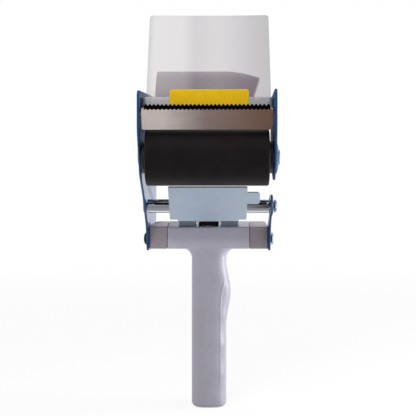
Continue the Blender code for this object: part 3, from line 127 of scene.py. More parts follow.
def corner_curves(corners: Array, steps: int) -> Array:
    """Points of the parabolas that round every corner but the first and the last.

    A parabola runs between two points set back from its corner by the radius over the tangent of
    the half angle, or by half of the shorter side where that is less.

    Args:
        corners: First and second coordinate and radius of each corner.
        steps: Pieces of each parabola.

    Returns:
        The points, one row each, with doubles left out.
    """
    spots, radii = corners[1:-1, :2], corners[1:-1, 2]
    to_last, to_next = corners[:-2, :2] - spots, corners[2:, :2] - spots
    last_length = np.linalg.norm(to_last, axis=1)
    next_length = np.linalg.norm(to_next, axis=1)
    cosine = (to_last * to_next).sum(axis=1) / (last_length * next_length)
    half_angle = np.arccos(np.clip(cosine, -1, 1)) / 2
    setback = np.minimum(radii / np.tan(half_angle), np.minimum(last_length, next_length) / 2)
    start = spots + to_last * (setback / last_length)[:, None]
    end = spots + to_next * (setback / next_length)[:, None]
    share = np.linspace(0, 1, steps + 1)[None, :, None]
    curve = (1 - share) ** 2 * start[:, None] + 2 * share * (1 - share) * spots[:, None]
    points = (curve + share ** 2 * end[:, None]).reshape(-1, 2)
    return points[np.linalg.norm(points - np.roll(points, 1, axis=0), axis=1) > MERGE]


def rounded(corners: Sequence[Corner], steps: int = CORNER_STEPS) -> Array:
    """Closed outline with every corner rounded, from (first, second, radius) corners."""
    return corner_curves(np.array([corners[-1], *corners, corners[0]], dtype=float), steps)


def bent(corners: Sequence[Corner], steps: int = CORNER_STEPS) -> Array:
    """Open line with its inner corners rounded; the ends' radii are unused."""
    data = np.array(corners, dtype=float)
    return np.vstack((data[:1, :2], corner_curves(data, steps), data[-1:, :2]))


def resampled(points: Array, pitch: float, closed: bool = True) -> Array:
    """Line whose long edges are split evenly, so that none is longer than the pitch.

    Args:
        points: The line's corners.
        pitch: The longest edge allowed.
        closed: Joins the last point to the first.

    Returns:
        The line's points.
    """
    ends = np.roll(points, -1, axis=0) if closed else points[1:]
    starts = points if closed else points[:-1]
    steps = np.maximum(np.ceil(np.linalg.norm(ends - starts, axis=1) / pitch), 1).astype(int)
    owner = np.repeat(np.arange(len(starts)), steps)
    order = np.arange(len(owner)) - np.repeat(np.cumsum(steps) - steps, steps)
    share = (order / steps[owner])[:, None]
    split = starts[owner] + (ends - starts)[owner] * share
    return split if closed else np.vstack((split, points[-1:]))


def box_corners(left: float, right: float, first: float, second: float, ease: float,
                other: float) -> list[Corner]:
    """Corners of a box: two at the first level with one rounding, two at the second with another."""
    return [(left, first, ease), (right, first, ease), (right, second, other), (left, second, other)]


def circle(centre: Pair, radius: float, steps: int = 32) -> Array:
    """Closed circle, anticlockwise."""
    angle = np.linspace(0, TURN, steps, endpoint=False)
    return np.stack((centre[0] + radius * np.cos(angle), centre[1] + radius * np.sin(angle)), 1)


def anticlockwise(loop: Array, wanted: bool = True) -> Array:
    """The loop anticlockwise, or clockwise where that isn't wanted, by its signed area."""
    area = (loop[:, 0] * np.roll(loop[:, 1], -1) - np.roll(loop[:, 0], -1) * loop[:, 1]).sum()
    return loop if (area > 0) == wanted else loop[::-1]


def side_normals(loop: Array) -> Array:
    """Unit normals to the left of a closed loop, from the chord between each point's neighbours."""
    run = np.roll(loop, -1, axis=0) - np.roll(loop, 1, axis=0)
    return np.stack((-run[:, 1], run[:, 0]), 1) / np.linalg.norm(run, axis=1, keepdims=True)


def within(points: Array, loops: Sequence[Array]) -> Array:
    """True where a point is inside an odd number of loops, by crossings of a ray along +X.

    Args:
        points: Points to test, one row each.
        loops: Closed loops.

    Returns:
        One truth value for each point.
    """
    starts = np.vstack(loops)
    ends = np.vstack([np.roll(loop, -1, axis=0) for loop in loops])
    height = points[:, 1, None]
    crosses = (starts[:, 1] > height) != (ends[:, 1] > height)
    rise = np.where(crosses, ends[:, 1] - starts[:, 1], 1)
    reach = starts[:, 0] + (height - starts[:, 1]) * (ends[:, 0] - starts[:, 0]) / rise
    return (crosses & (points[:, 0, None] < reach)).sum(axis=1) % 2 == 1


def far_from(points: Array, others: Array, distance: float) -> Array:
    """True where a point is farther than a distance from every other point."""
    gaps = ((points[:, None] - others[None]) ** 2).sum(axis=2)
    return gaps.min(axis=1) > distance ** 2


# Meshes

def linked(name: str, data: bpy.types.ID) -> Piece:
    """Object that puts a mesh, a lamp or a camera in the scene.

    Args:
        name: Name of the object.
        data: What it shows.

    Returns:
        The object.
    """
    piece = bpy.data.objects.new(name, data)
    bpy.context.scene.collection.objects.link(piece)
    return piece


def smoothed(mesh: bpy.types.Mesh, outward: bool, sharp: float = SHARP) -> None:
    """Merge a mesh's doubles and shade it smooth but for its sharp edges.

    Args:
        mesh: The mesh.
        outward: Turns the normals outward as well.
        sharp: Angle between faces above which their edge is sharp.
    """
    shape = bmesh.new()
    shape.from_mesh(mesh)
    bmesh.ops.remove_doubles(shape, verts=shape.verts, dist=MERGE)
    if outward:
        bmesh.ops.recalc_face_normals(shape, faces=shape.faces)
    shape.to_mesh(mesh)
    shape.free()
    mesh.shade_smooth()
    mesh.set_sharp_from_angle(angle=sharp)


@dataclass
class Shell:
    """Vertices and faces gathered from several surfaces before they become one mesh."""

    points: list[Array] = field(default_factory=list)
    faces: list[list] = field(default_factory=list)
    count: int = 0

    def add(self, points: Array, faces: Array) -> None:
        """Add a surface by its points and its faces' indices into them.

        Args:
            points: Places; any shape that ends in 3.
            faces: Faces with the same number of corners each.
        """
        self.points.append(points.reshape(-1, 3))
        self.faces.append((faces + self.count).tolist())
        self.count += len(self.points[-1])

    def grid(self, points: Array, wrap_rows: bool = False, wrap_columns: bool = False,
             caps: bool = False) -> None:
        """Add a grid of points as quads, closed in either direction, with its end rows capped.

        Args:
            points: Array of rows by columns by 3.
            wrap_rows: Joins the last row to the first.
            wrap_columns: Joins the last column to the first.
            caps: Closes the first and last rows, each with one face.
        """
        rows, columns = points.shape[:2]
        index = np.arange(rows * columns).reshape(rows, columns)
        if caps:
            self.faces.append((np.array((index[0][::-1], index[-1])) + self.count).tolist())
        if wrap_rows:
            index = np.vstack((index, index[:1]))
        if wrap_columns:
            index = np.hstack((index, index[:, :1]))
        quads = np.stack((index[:-1, :-1], index[1:, :-1], index[1:, 1:], index[:-1, 1:]), -1)
        self.add(points, quads.reshape(-1, 4))

    def build(self, name: str, sharp: float = SHARP) -> Piece:
        """Make the object: doubles merged, normals outward, smooth but for its sharp edges.

        Args:
            name: Name of the object and its mesh.
            sharp: Angle above which an edge is sharp.

        Returns:
            The object.
        """
        mesh = bpy.data.meshes.new(name)
        faces = [face for block in self.faces for face in block]
        mesh.from_pydata(np.vstack(self.points).tolist(), [], faces)
        smoothed(mesh, True, sharp)
        return linked(name, mesh)


def turned(name: str, profile: Array, axis: Pair, closed: bool = False,
           steps: int = ROUND_STEPS, shape: Turning | None = None,
           shell: Shell | None = None) -> Piece | None:
    """Piece turned about a line along X: Y and Z are the axis plus radius times cosine and sine.

    Args:
        name: Name of the piece.
        profile: Station along X and radius, one row each.
        axis: Y and Z of the line.
        closed: Joins the profile's ends, for a ring.
        steps: Steps of the turn.
        shape: Gives new stations and radii from (station, radius, angle) grids.
        shell: Shell that takes the surface instead of a new piece.

    Returns:
        The piece, or nothing where a shell took the surface.
    """
    angle = np.linspace(0, TURN, steps, endpoint=False)[None, :]
    station = np.repeat(profile[:, :1], steps, axis=1)
    radius = np.repeat(profile[:, 1:2], steps, axis=1)
    if shape:
        station, radius = shape(station, radius, angle)
    points = np.stack((station, axis[0] + radius * np.cos(angle),
                       axis[1] + radius * np.sin(angle)), -1)
    target = shell or Shell()
    target.grid(points, wrap_rows=closed, wrap_columns=True)
    return None if shell else target.build(name)


def tube(name: str, path: Array, guide: Array, radius: float, sides: int = 14) -> Piece:
    """Round wire along a path: each ring lies square to the path, turned from its guide vector.

    Args:
        name: Name of the piece.
        path: Points along the wire.
        guide: A vector at each point that isn't along the path.
        radius: Radius of the wire.
        sides: Points round the wire.

    Returns:
        The wire, with closed ends.
    """
    run = np.gradient(path, axis=0)
    run /= np.linalg.norm(run, axis=1, keepdims=True)
    first = guide - (guide * run).sum(axis=1, keepdims=True) * run
    first /= np.linalg.norm(first, axis=1, keepdims=True)
    second = np.cross(run, first)
    angle = np.linspace(0, TURN, sides, endpoint=False)[None, :, None]
    ring = first[:, None] * np.cos(angle) + second[:, None] * np.sin(angle)
    shell = Shell()
    shell.grid(path[:, None] + radius * ring, wrap_columns=True, caps=True)
    return shell.build(name)


# Where a flat blank's coordinates end up

def on_side(u: Array, v: Array, w: Array) -> Array:
    """Blank in a plane across X: u is Y, v is Z and w is X."""
    return np.stack((w, u, v), -1)


def on_front(u: Array, v: Array, w: Array) -> Array:
    """Blank in a plane across Y: u is X, v is Z and w is Y."""
    return np.stack((u, w, v), -1)


def on_line(line: Array, reach: Array, w: Array) -> tuple[Array, Array]:
    """Place on a folded line: the point at a reach along it, moved by w along its left normal.

    Args:
        line: Points of the line.
        reach: Lengths along it.
        w: Distances along its left normal.

    Returns:
        The two coordinates of each place.
    """
    step = np.linalg.norm(np.diff(line, axis=0), axis=1)
    length = np.concatenate(([0], np.cumsum(step)))
    run = np.gradient(line, length, axis=0)
    run /= np.linalg.norm(run, axis=1, keepdims=True)
    spot = [np.interp(reach, length, line[:, k]) for k in range(2)]
    along = [np.interp(reach, length, run[:, k]) for k in range(2)]
    size = np.hypot(*along)
    return spot[0] - along[1] / size * w, spot[1] + along[0] / size * w


def folded(line: Array, fold: Fold) -> Place:
    """Way to fold a blank along a line.

    Args:
        line: The line's points, in the two coordinates of the fold.
        fold: From the side, u is X and v the reach along the line; in plan, u is the reach and v Z.

    Returns:
        What carries the blank's coordinates to space.
    """
    def place(u: Array, v: Array, w: Array) -> Array:
        """Carry the blank's (u, v, w) to (X, Y, Z)."""
        spot = on_line(line, v if fold is Fold.SIDE else u, w)
        return np.stack((u, *spot) if fold is Fold.SIDE else (*spot, v), -1)
    return place


def length_of(line: Array) -> float:
    """Length of an open line."""
    return np.linalg.norm(np.diff(line, axis=0), axis=1).sum()


@dataclass
class Blank:
    """Flat sheet of any outline, with holes, rounded rims and pressed relief, then folded.

    The two faces are one triangulation of the outline and a lattice inside it, and a quarter circle
    carried along each edge rounds the rim.
    """

    outline: Array
    place: Place
    start: float
    stop: float
    holes: Sequence[Array] = ()
    pitch: Pair = (3 * MM, 3 * MM)
    rim: float = RIM_RADIUS
    relief: Relief | None = None
    extra: Sequence[Array] = ()

    def loops(self) -> list[Array]:
        """The outline anticlockwise and the holes clockwise, so that the sheet is on their left."""
        outer = anticlockwise(resampled(self.outline, min(self.pitch)))
        return [outer, *[anticlockwise(hole, wanted=False) for hole in self.holes]]

    def lattice(self, loops: Sequence[Array]) -> Array:
        """Points of an even lattice inside the sheet and clear of its edges.

        Args:
            loops: The sheet's loops, inset by its rim.

        Returns:
            The points, one row each.
        """
        low, high = loops[0].min(axis=0), loops[0].max(axis=0)
        steps = [np.arange(low[k] + self.pitch[k] / 2, high[k], self.pitch[k]) for k in range(2)]
        u, v = np.meshgrid(*steps)
        points = np.stack((u.ravel(), v.ravel()), 1)
        clear = min(self.pitch) * LATTICE_CLEARANCE
        border = np.vstack(loops)
        points = points[within(points, loops)]
        points = points[far_from(points, border, clear)]
        for more in self.extra:
            more = more[within(more, loops)]
            more = more[far_from(more, border, self.rim)]
            points = np.vstack((points[far_from(points, more, clear)], more))
        return points

    def raised(self, u: Array, v: Array, w: Array) -> Array:
        """Places in space, with the pressed relief added to w."""
        return self.place(u, v, w + self.relief(u, v) if self.relief else w)

    def into(self, shell: Shell) -> Shell:
        """Add the sheet's two faces and its rims to a shell.

        Args:
            shell: The shell.

        Returns:
            The same shell.
        """
        loops = self.loops()
        edges_in = [loop + side_normals(loop) * self.rim for loop in loops]
        inside = self.lattice(edges_in)
        corners = np.vstack([*edges_in, inside])
        edges, first = [], 0
        for loop in edges_in:
            index = np.arange(first, first + len(loop))
            edges += np.stack((index, np.roll(index, -1)), 1).tolist()
            first += len(loop)
        spots, _, faces, *_ = delaunay_2d_cdt(list(map(Vector, corners.tolist())), edges, [], 1,
                                              MERGE / 100)
        flat, faces = np.array(spots), np.array(faces)
        faces = faces[within(flat[faces].mean(axis=1), edges_in)]
        for level, order in ((self.start, -1), (self.stop, 1)):
            points = self.raised(flat[:, 0], flat[:, 1], np.full(len(flat), level))
            shell.add(points, faces[:, ::order])
        angle = np.linspace(0, math.pi / 2, RIM_STEPS + 1)
        inset = self.rim * (1 - np.sin(angle))
        depth = self.rim * (1 - np.cos(angle))
        insets = np.concatenate((inset, inset[::-1]))[:, None, None]
        levels = np.concatenate((self.start + depth, self.stop - depth[::-1]))[:, None]
        for loop in loops:
            path = loop[None] + side_normals(loop)[None] * insets
            shell.grid(self.raised(path[..., 0], path[..., 1], levels + 0 * path[..., 0]),
                       wrap_columns=True)
        return shell

    def build(self, name: str) -> Piece:
        """Make the sheet as an object of its own."""
        return self.into(Shell()).build(name)


def dome_relief(centre: Pair, radius: float, height: float) -> Relief:
    """Pressed dome: a quarter ellipse of the distance from its centre."""
    return lambda u, v: height * np.sqrt(
        np.clip(1 - ((u - centre[0]) ** 2 + (v - centre[1]) ** 2) / radius ** 2, 0, 1))


def rib_relief(start: Pair, end: Pair, half: float, height: float) -> Relief:
    """Pressed rib: a raised cosine of the distance from the line between its ends.

    Args:
        start: One end of the rib's line.
        end: Its other end.
        half: Half of the rib's width.
        height: Its height.

    Returns:
        The relief.
    """
    run = np.subtract(end, start)

    def gap(u: Array, v: Array) -> Array:
        """Distance of each place from the rib's line."""
        share = np.clip(((u - start[0]) * run[0] + (v - start[1]) * run[1]) / (run @ run), 0, 1)
        return np.hypot(u - start[0] - share * run[0], v - start[1] - share * run[1])
    return lambda u, v: height * (1 + np.cos(math.pi * np.clip(gap(u, v) / half, 0, 1))) / 2


def together(*reliefs: Relief) -> Relief:
    """Sum of several reliefs."""
    return lambda u, v: sum(relief(u, v) for relief in reliefs)


def ring_points(centre: Pair, radius: float) -> Array:
    """Rings of points that carry a pressed dome's curve."""
    return np.vstack([circle(centre, radius * share, SMALL_STEPS) for share in DOME_RINGS])


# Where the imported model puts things

def span_of(node: str) -> Pair:
    """Lowest and highest X of a node."""
    low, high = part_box(node)
    return low[0], high[0]


def axis_of(node: str) -> Pair:
    """Y and Z of a turned node's middle."""
    low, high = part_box(node)
    return (low[1] + high[1]) / 2, (low[2] + high[2]) / 2


def radius_of(node: str) -> float:
    """Radius of a turned node, half its height."""
    low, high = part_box(node)
    return (high[2] - low[2]) / 2


def rivet_nodes(side: Side) -> list[str]:
    """The crossbar's rivets on one side, front and rear."""
    return [f"crossbar_rivet_{side.word()}_{place}" for place in ("front", "rear")]


PIN_AXIS = axis_of("keeper_pin")
ROD_AXIS = axis_of("one_way_rod")
ROLLER_AXIS = axis_of("roller_core")
TIE_AXIS = axis_of("tie_bolt")
HUB_AXIS = axis_of("brake_knob")
OUTER_SIDE = -span_of("side_plate_left")[0]
INNER_SIDE = -span_of("side_plate_left")[1]
HEAD_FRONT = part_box("end_cap_left")[0][1]
HEAD_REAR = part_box("end_cap_left")[1][1]
HEAD_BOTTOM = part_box("end_cap_left")[0][2]
HEAD_REAR_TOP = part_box("end_cap_left")[1][2]
HEAD_SLOPE_RISE = 4.3 * MM
HEAD_SWELL = 0.55 * MM
HEAD_FRONT_TOP = HEAD_REAR_TOP - HEAD_SLOPE_RISE + HEAD_SWELL
BLADE_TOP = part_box("cutter_blade")[1][2]


# Finishes

class Graph:
    """Node tree of one material, with short calls for the nodes that the finishes share."""

    def __init__(self, name: str) -> None:
        """Start a material with its Principled shader.

        Args:
            name: Name of the material.
        """
        self.material = bpy.data.materials.new(name)
        self.material.use_nodes = True
        self.tree = self.material.node_tree
        self.shader = self.tree.nodes["Principled BSDF"]

    def add(self, kind: str, inputs: dict, **settings) -> bpy.types.Node:
        """Add a node.

        Args:
            kind: The node's type.
            inputs: Value or socket for each input, by its name or number.
            settings: Properties of the node.

        Returns:
            The node.
        """
        node = self.tree.nodes.new(kind)
        for key, value in settings.items():
            setattr(node, key, value)
        self.feed(node, inputs)
        return node

    def feed(self, node: bpy.types.Node, inputs: dict) -> None:
        """Give a node's inputs their values or links.

        Args:
            node: The node.
            inputs: Value or socket by the input's name or number.
        """
        for key, value in inputs.items():
            if isinstance(value, Socket):
                self.tree.links.new(value, node.inputs[key])
            else:
                node.inputs[key].default_value = value

    def spot(self, stretch: Corner = (1, 1, 1), turn: Corner = (0, 0, 0)) -> Socket:
        """Object coordinates, stretched and then turned."""
        source = self.add("ShaderNodeTexCoord", {}).outputs["Object"]
        return self.add("ShaderNodeMapping", {0: source, "Scale": stretch, "Rotation": turn}).outputs[0]

    def part(self, axis: int) -> Socket:
        """One object coordinate: X is 0, Y is 1 and Z is 2."""
        return self.add("ShaderNodeSeparateXYZ", {0: self.spot()}).outputs[axis]

    def noise(self, spot: Socket, scale: float, detail: float = 3, rough: float = 0.5) -> Socket:
        """Noise from 0 to 1, at a number of cells to the metre."""
        inputs = {"Vector": spot, "Scale": scale, "Detail": detail, "Roughness": rough}
        return self.add("ShaderNodeTexNoise", inputs).outputs[0]

    def ramp(self, share: Socket, stops: Sequence[tuple[float, Colour]]) -> Socket:
        """Colour that runs through stops of (place, colour).

        Args:
            share: Value from 0 to 1.
            stops: The stops, in order.

        Returns:
            The colour.
        """
        node = self.add("ShaderNodeValToRGB", {"Fac": share})
        elements = node.color_ramp.elements
        for element, (place, colour) in zip(elements, (stops[0], stops[-1])):
            element.position, element.color = place, full(colour)
        for place, colour in stops[1:-1]:
            elements.new(place).color = full(colour)
        return node.outputs[0]

    def span(self, share: Socket, low: float, high: float, start: float = 0, stop: float = 1
             ) -> Socket:
        """Value carried from start and stop to low and high, held at both ends."""
        inputs = {"Value": share, "From Min": start, "From Max": stop, "To Min": low, "To Max": high}
        return self.add("ShaderNodeMapRange", inputs).outputs[0]

    def inside(self, low: Corner, high: Corner) -> Socket:
        """1 within a box in object coordinates and 0 outside it, with a soft edge.

        Args:
            low: The box's lowest corner.
            high: Its highest corner.

        Returns:
            The socket with the value.
        """
        share: Socket | float = 1.0
        for axis in range(3):
            part = self.part(axis)
            for edge, before, after in ((low[axis], 0, 1), (high[axis], 1, 0)):
                near = self.span(part, before, after, edge - SOFT_EDGE, edge + SOFT_EDGE)
                product = self.add("ShaderNodeMath", {0: share, 1: near}, operation="MULTIPLY")
                share = product.outputs[0]
        return share

    def plus(self, first: Socket, second: Socket) -> Socket:
        """Sum of two values."""
        return self.add("ShaderNodeMath", {0: first, 1: second}, operation="ADD").outputs[0]

    def mix(self, share: Socket | float, first: Socket | Sequence, second: Socket | Sequence,
            blend: Blend = Blend.PLAIN) -> Socket:
        """Mix of two colours, with a share of the second."""
        inputs = {0: share, 6: first, 7: second}
        return self.add("ShaderNodeMix", inputs, data_type="RGBA", blend_type=blend.value).outputs[2]

    def times(self, first: Socket, second: Socket | Sequence) -> Socket:
        """Product of two colours."""
        return self.mix(1.0, first, second, Blend.MULTIPLY)

    def bump(self, height: Socket, strength: float, depth: float,
             under: Socket | None = None) -> Socket:
        """Normal raised by a height of so much depth, over another normal if one is given."""
        inputs = {"Height": height, "Strength": strength, "Distance": depth}
        return self.add("ShaderNodeBump", inputs | ({"Normal": under} if under else {})).outputs[0]

    def dress(self, **inputs) -> None:
        """Give the shader its inputs; an underscore in a name stands for a space."""
        self.feed(self.shader, {key.replace("_", " "): value for key, value in inputs.items()})


def full(colour: Colour) -> tuple[float, float, float, float]:
    """Colour with its alpha."""
    return (*colour, 1)


def shaded(colour: Colour, share: float) -> Colour:
    """Colour made lighter or darker by a share."""
    return tuple(min(channel * share, 1) for channel in colour)


@dataclass(frozen=True)
class Finish:
    """A finish: its material's name, the record's slot and its main colour."""

    name: str
    slot: str
    colour: Colour
    rough: float

    def paint(self, graph: Graph) -> None:
        """Build the material's nodes; each kind of finish has its own."""
        raise NotImplementedError

    @cache
    def material(self) -> bpy.types.Material:
        """The material, made once.

        Returns:
            The material.
        """
        graph = Graph(self.name)
        self.paint(graph)
        return graph.material


@dataclass(frozen=True)
class Enamel(Finish):
    """Stoved enamel: orange peel, slow shifts of tone and a clear top."""

    def paint(self, graph: Graph) -> None:
        """Build the material's nodes.

        Args:
            graph: The material's node tree.
        """
        spot = graph.spot()
        tone = graph.noise(spot, 70, 4)
        peel = graph.noise(spot, 620, 2)
        dust = graph.noise(spot, 2600, 2)
        colour = graph.ramp(tone, [(0.3, shaded(self.colour, 0.82)), (0.7, shaded(self.colour, 1.2))])
        under = graph.bump(peel, 0.18, 0.12 * MM)
        graph.dress(Base_Color=colour, Roughness=graph.span(tone, self.rough * 0.8, self.rough * 1.3),
                    Normal=graph.bump(dust, 0.05, GRAIN_DEPTH, under), Coat_Weight=0.05,
                    Coat_Roughness=0.08, Specular_IOR_Level=0.28)


@dataclass(frozen=True)
class Plating(Finish):
    """Bright zinc plate: fine spangle, rolling grain along X, a faint warm and cool shift and painted
    shadow above a given height.
    """

    warm: Colour = (0.56, 0.53, 0.5)
    spangle: float = 0.14
    shine: float = 1.0
    shadow_above: float = 1.0

    def paint(self, graph: Graph) -> None:
        """Build the material's nodes.

        Args:
            graph: The material's node tree.
        """
        grain = graph.noise(graph.spot((0.08, 1, 1)), 1500, 4, 0.6)
        cloud = graph.noise(graph.spot(), 60, 3, 0.5)
        cells = graph.add("ShaderNodeTexVoronoi", {"Vector": graph.spot(), "Scale": 750},
                          feature="F1").outputs["Color"]
        flake = graph.add("ShaderNodeRGBToBW", {0: cells}).outputs[0]
        tint = graph.ramp(cloud, [(0.3, self.colour), (0.75, self.warm)])
        low = 1 - self.spangle
        tone = graph.ramp(flake, [(0.2, (low, low, low)), (0.8, WHITE)])
        rough = graph.plus(graph.span(grain, -0.06, 0.08),
                          graph.span(flake, self.rough - 0.02, self.rough + 0.03))
        # Painted shadow: above the given height the colour turns to the dark edge colour.
        height = graph.part(2)
        edge_shadow = graph.span(height, 0, 1, self.shadow_above - SOFT_EDGE, self.shadow_above + SOFT_EDGE)
        colour = graph.mix(edge_shadow, graph.times(tint, tone), full(EDGE_SHADOW))
        graph.dress(Base_Color=colour, Metallic=self.shine, Roughness=rough,
                    Normal=graph.bump(grain, 0.12, GRAIN_DEPTH))


@dataclass(frozen=True)
class BrushedSteel(Finish):
    """Steel strip brushed along X, with a painted light fall from pale left to brown right, and a black
    ground edge.
    """

    # Painted light and shade: the left colour, the main colour and the right one run pale to brown along
    # X.
    left: Colour = (0.78, 0.67, 0.63)
    painted_right_shade: Colour = (0.23, 0.125, 0.09)
    half_width: float = 41.3 * MM
    shine: float = 0.5

    def paint(self, graph: Graph) -> None:
        """Build the material's nodes.

        Args:
            graph: The material's node tree.
        """
        # Painted light and shade falling along X, from the pale left to the brown right.
        painted_light_fall = graph.span(graph.part(0), 0, 1, -self.half_width, self.half_width)
        lines = graph.noise(graph.spot((0.02, 1, 1)), 2600, 4, 0.65)
        cloud = graph.noise(graph.spot((0.35, 1, 1)), 170, 4, 0.6)
        painted_light_and_cloud = graph.plus(painted_light_fall, graph.span(cloud, -0.08, 0.08))
        tint = graph.ramp(painted_light_and_cloud, [(0.16, self.left), (0.32, shaded(self.left, 0.66)),
                                   (0.48, self.colour), (0.95, self.painted_right_shade)])
        streak = graph.ramp(lines, [(0.3, (0.84, 0.84, 0.84)), (0.7, WHITE)])
        brushed = graph.times(tint, streak)
        ground = graph.add("ShaderNodeAttribute", {}, attribute_name="ground").outputs["Fac"]
        # Near black with little shine where the ground attribute is set.
        ground_black = graph.ramp(graph.noise(graph.spot(), 1400, 2), [(0.4, (0.0006, 0.0006, 0.0008)),
                                                              (0.8, (0.0025, 0.0025, 0.003))])
        rough = graph.plus(graph.span(lines, self.rough - 0.05, self.rough + 0.08),
                          graph.span(ground, 0, 0.2))
        graph.dress(Base_Color=graph.mix(ground, brushed, ground_black), Roughness=rough,
                    Metallic=graph.span(ground, self.shine, 0),
                    Specular_IOR_Level=graph.span(ground, 0.5, 0.03),
                    Normal=graph.bump(lines, 0.1, GRAIN_DEPTH))


@dataclass(frozen=True)
class Polished(Finish):
    """Polished plate or turned steel: bright, with faint rubbing marks round the axis."""

    marks: float = 0.04

    def paint(self, graph: Graph) -> None:
        """Build the material's nodes.

        Args:
            graph: The material's node tree.
        """
        rub = graph.noise(graph.spot((1, 0.05, 0.05)), 1900, 3, 0.6)
        smudge = graph.noise(graph.spot(), 120, 4, 0.6)
        colour = graph.ramp(smudge, [(0.3, shaded(self.colour, 0.93)), (0.7, self.colour)])
        rough = graph.plus(graph.span(rub, self.rough, self.rough + self.marks),
                          graph.span(smudge, 0, 0.05, 0.45, 0.8))
        graph.dress(Base_Color=colour, Metallic=1.0, Roughness=rough,
                    Normal=graph.bump(rub, 0.05, 0.02 * MM))


@dataclass(frozen=True)
class Moulding(Finish):
    """Moulded plastic: fine spark-eroded grain, slow flow marks and softened gloss.

    A moulding may be lighter or darker by height as painted light and shade, and painted near black
    in a box given by two corners as painted shade.
    """

    grain: float = 0.1
    shift: float = 0.05
    # Fade stops of (height, factor) paint light and shade by height.
    fade: tuple[Pair, ...] = ((0.0, 1.0), (0.2, 1.0))
    slot_shade: tuple[Corner, Corner] | None = None

    def paint(self, graph: Graph) -> None:
        """Build the material's nodes.

        Args:
            graph: The material's node tree.
        """
        flow = graph.noise(graph.spot((1, 1, 0.35)), 55, 4, 0.55)
        grain = graph.noise(graph.spot(), 2900, 3, 0.6)
        soil = graph.noise(graph.spot(), 240, 5, 0.65)
        tone = graph.ramp(flow, [(0.3, shaded(self.colour, 1 - self.shift)),
                                 (0.7, shaded(self.colour, 1 + self.shift))])
        fleck = graph.ramp(soil, [(0.35, (0.95, 0.95, 0.95)), (0.6, WHITE)])
        # Painted light and shade: the colour is scaled by a ramp of factors up Z.
        top, most = self.fade[-1][0], max(factor for _, factor in self.fade)
        share = graph.span(graph.part(2), 0, 1, 0, top)
        height_shading = graph.ramp(share, [(place / top, (factor / most,) * 3) for place, factor in self.fade])
        colour = graph.times(graph.times(graph.times(tone, fleck), height_shading), full((most,) * 3))
        # Painted shade: near black inside the given box.
        if self.slot_shade:
            colour = graph.mix(graph.inside(*self.slot_shade), colour, full(SLOT_SHADE))
        graph.dress(Base_Color=colour, Roughness=graph.span(soil, self.rough - 0.05, self.rough + 0.07),
                    Normal=graph.bump(grain, self.grain, GRAIN_DEPTH), Specular_IOR_Level=0.45)


@dataclass(frozen=True)
class Rubber(Finish):
    """Ground rubber: fine rings round the roller, matt, with a bloom of dust."""

    def paint(self, graph: Graph) -> None:
        """Build the material's nodes.

        Args:
            graph: The material's node tree.
        """
        rings = graph.noise(graph.spot((1, 0.04, 0.04)), 1700, 3, 0.7)
        bloom = graph.noise(graph.spot(), 85, 5, 0.6)
        pores = graph.noise(graph.spot(), 2300, 2)
        colour = graph.ramp(bloom, [(0.35, shaded(self.colour, 0.8)), (0.75, shaded(self.colour, 1.5))])
        under = graph.bump(rings, 0.2, GRAIN_DEPTH)
        graph.dress(Base_Color=colour, Roughness=graph.span(rings, self.rough - 0.05, self.rough + 0.08),
                    Normal=graph.bump(pores, 0.1, GRAIN_DEPTH, under), Specular_IOR_Level=0.15)


@dataclass(frozen=True)
class ClearFilm(Finish):
    """Clear plastic sheet: what isn't let through is a painted soft reflection, stronger to the left."""

    alpha: float = 0.28
    half_width: float = 40.1 * MM

    def paint(self, graph: Graph) -> None:
        """Build the material's nodes.

        Args:
            graph: The material's node tree.
        """
        share = graph.span(graph.part(0), 0, 1, -self.half_width, self.half_width)
        waver = graph.noise(graph.spot((1, 0.12, 0.12)), 60, 2)
        share = graph.plus(share, graph.span(waver, -0.03, 0.03))
        # Painted reflection: the ramp across X stands in for the sheet's reflections, stronger on the
        # left, darker at the right edge.
        tint = graph.ramp(share, [
            (0.0, (0.2, 0.17, 0.19)), (0.06, (0.5, 0.46, 0.48)), (0.3, (0.48, 0.44, 0.46)),
            (0.4, (0.3, 0.25, 0.29)), (0.56, (0.36, 0.31, 0.34)), (0.64, (0.35, 0.3, 0.34)),
            (0.75, (0.24, 0.19, 0.24)), (0.9, self.colour), (1.0, shaded(self.colour, 0.3)),
        ])
        scratch = graph.noise(graph.spot((0.5, 0.06, 0.06), (0, 0.2, 0)), 1500, 3, 0.7)
        graph.dress(Base_Color=tint, Alpha=self.alpha,
                    Roughness=graph.span(scratch, self.rough, self.rough + 0.1, 0.4, 0.8),
                    Normal=graph.bump(waver, 0.1, 0.2 * MM), Specular_IOR_Level=0.2)


@dataclass(frozen=True)
class Printed(Finish):
    """Coloured vinyl film with a faint weave of tone under a gloss."""

    def paint(self, graph: Graph) -> None:
        """Build the material's nodes.

        Args:
            graph: The material's node tree.
        """
        cloud = graph.noise(graph.spot(), 130, 4, 0.6)
        fine = graph.noise(graph.spot(), 1600, 3, 0.6)
        colour = graph.ramp(cloud, [(0.3, shaded(self.colour, 0.93)), (0.7, shaded(self.colour, 1.03))])
        graph.dress(Base_Color=colour, Roughness=graph.span(fine, self.rough, self.rough + 0.12),
                    Normal=graph.bump(fine, 0.06, 0.03 * MM), Specular_IOR_Level=0.12)


@dataclass(frozen=True)
class Fibre(Finish):
    """Pressed friction fibre: flecked and matt."""

    def paint(self, graph: Graph) -> None:
        """Build the material's nodes.

        Args:
            graph: The material's node tree.
        """
        fleck = graph.noise(graph.spot(), 1100, 5, 0.75)
        colour = graph.ramp(fleck, [(0.35, shaded(self.colour, 0.5)), (0.55, self.colour),
                                    (0.75, shaded(self.colour, 2.2))])
        graph.dress(Base_Color=colour, Roughness=self.rough, Normal=graph.bump(fleck, 0.3, 0.1 * MM))


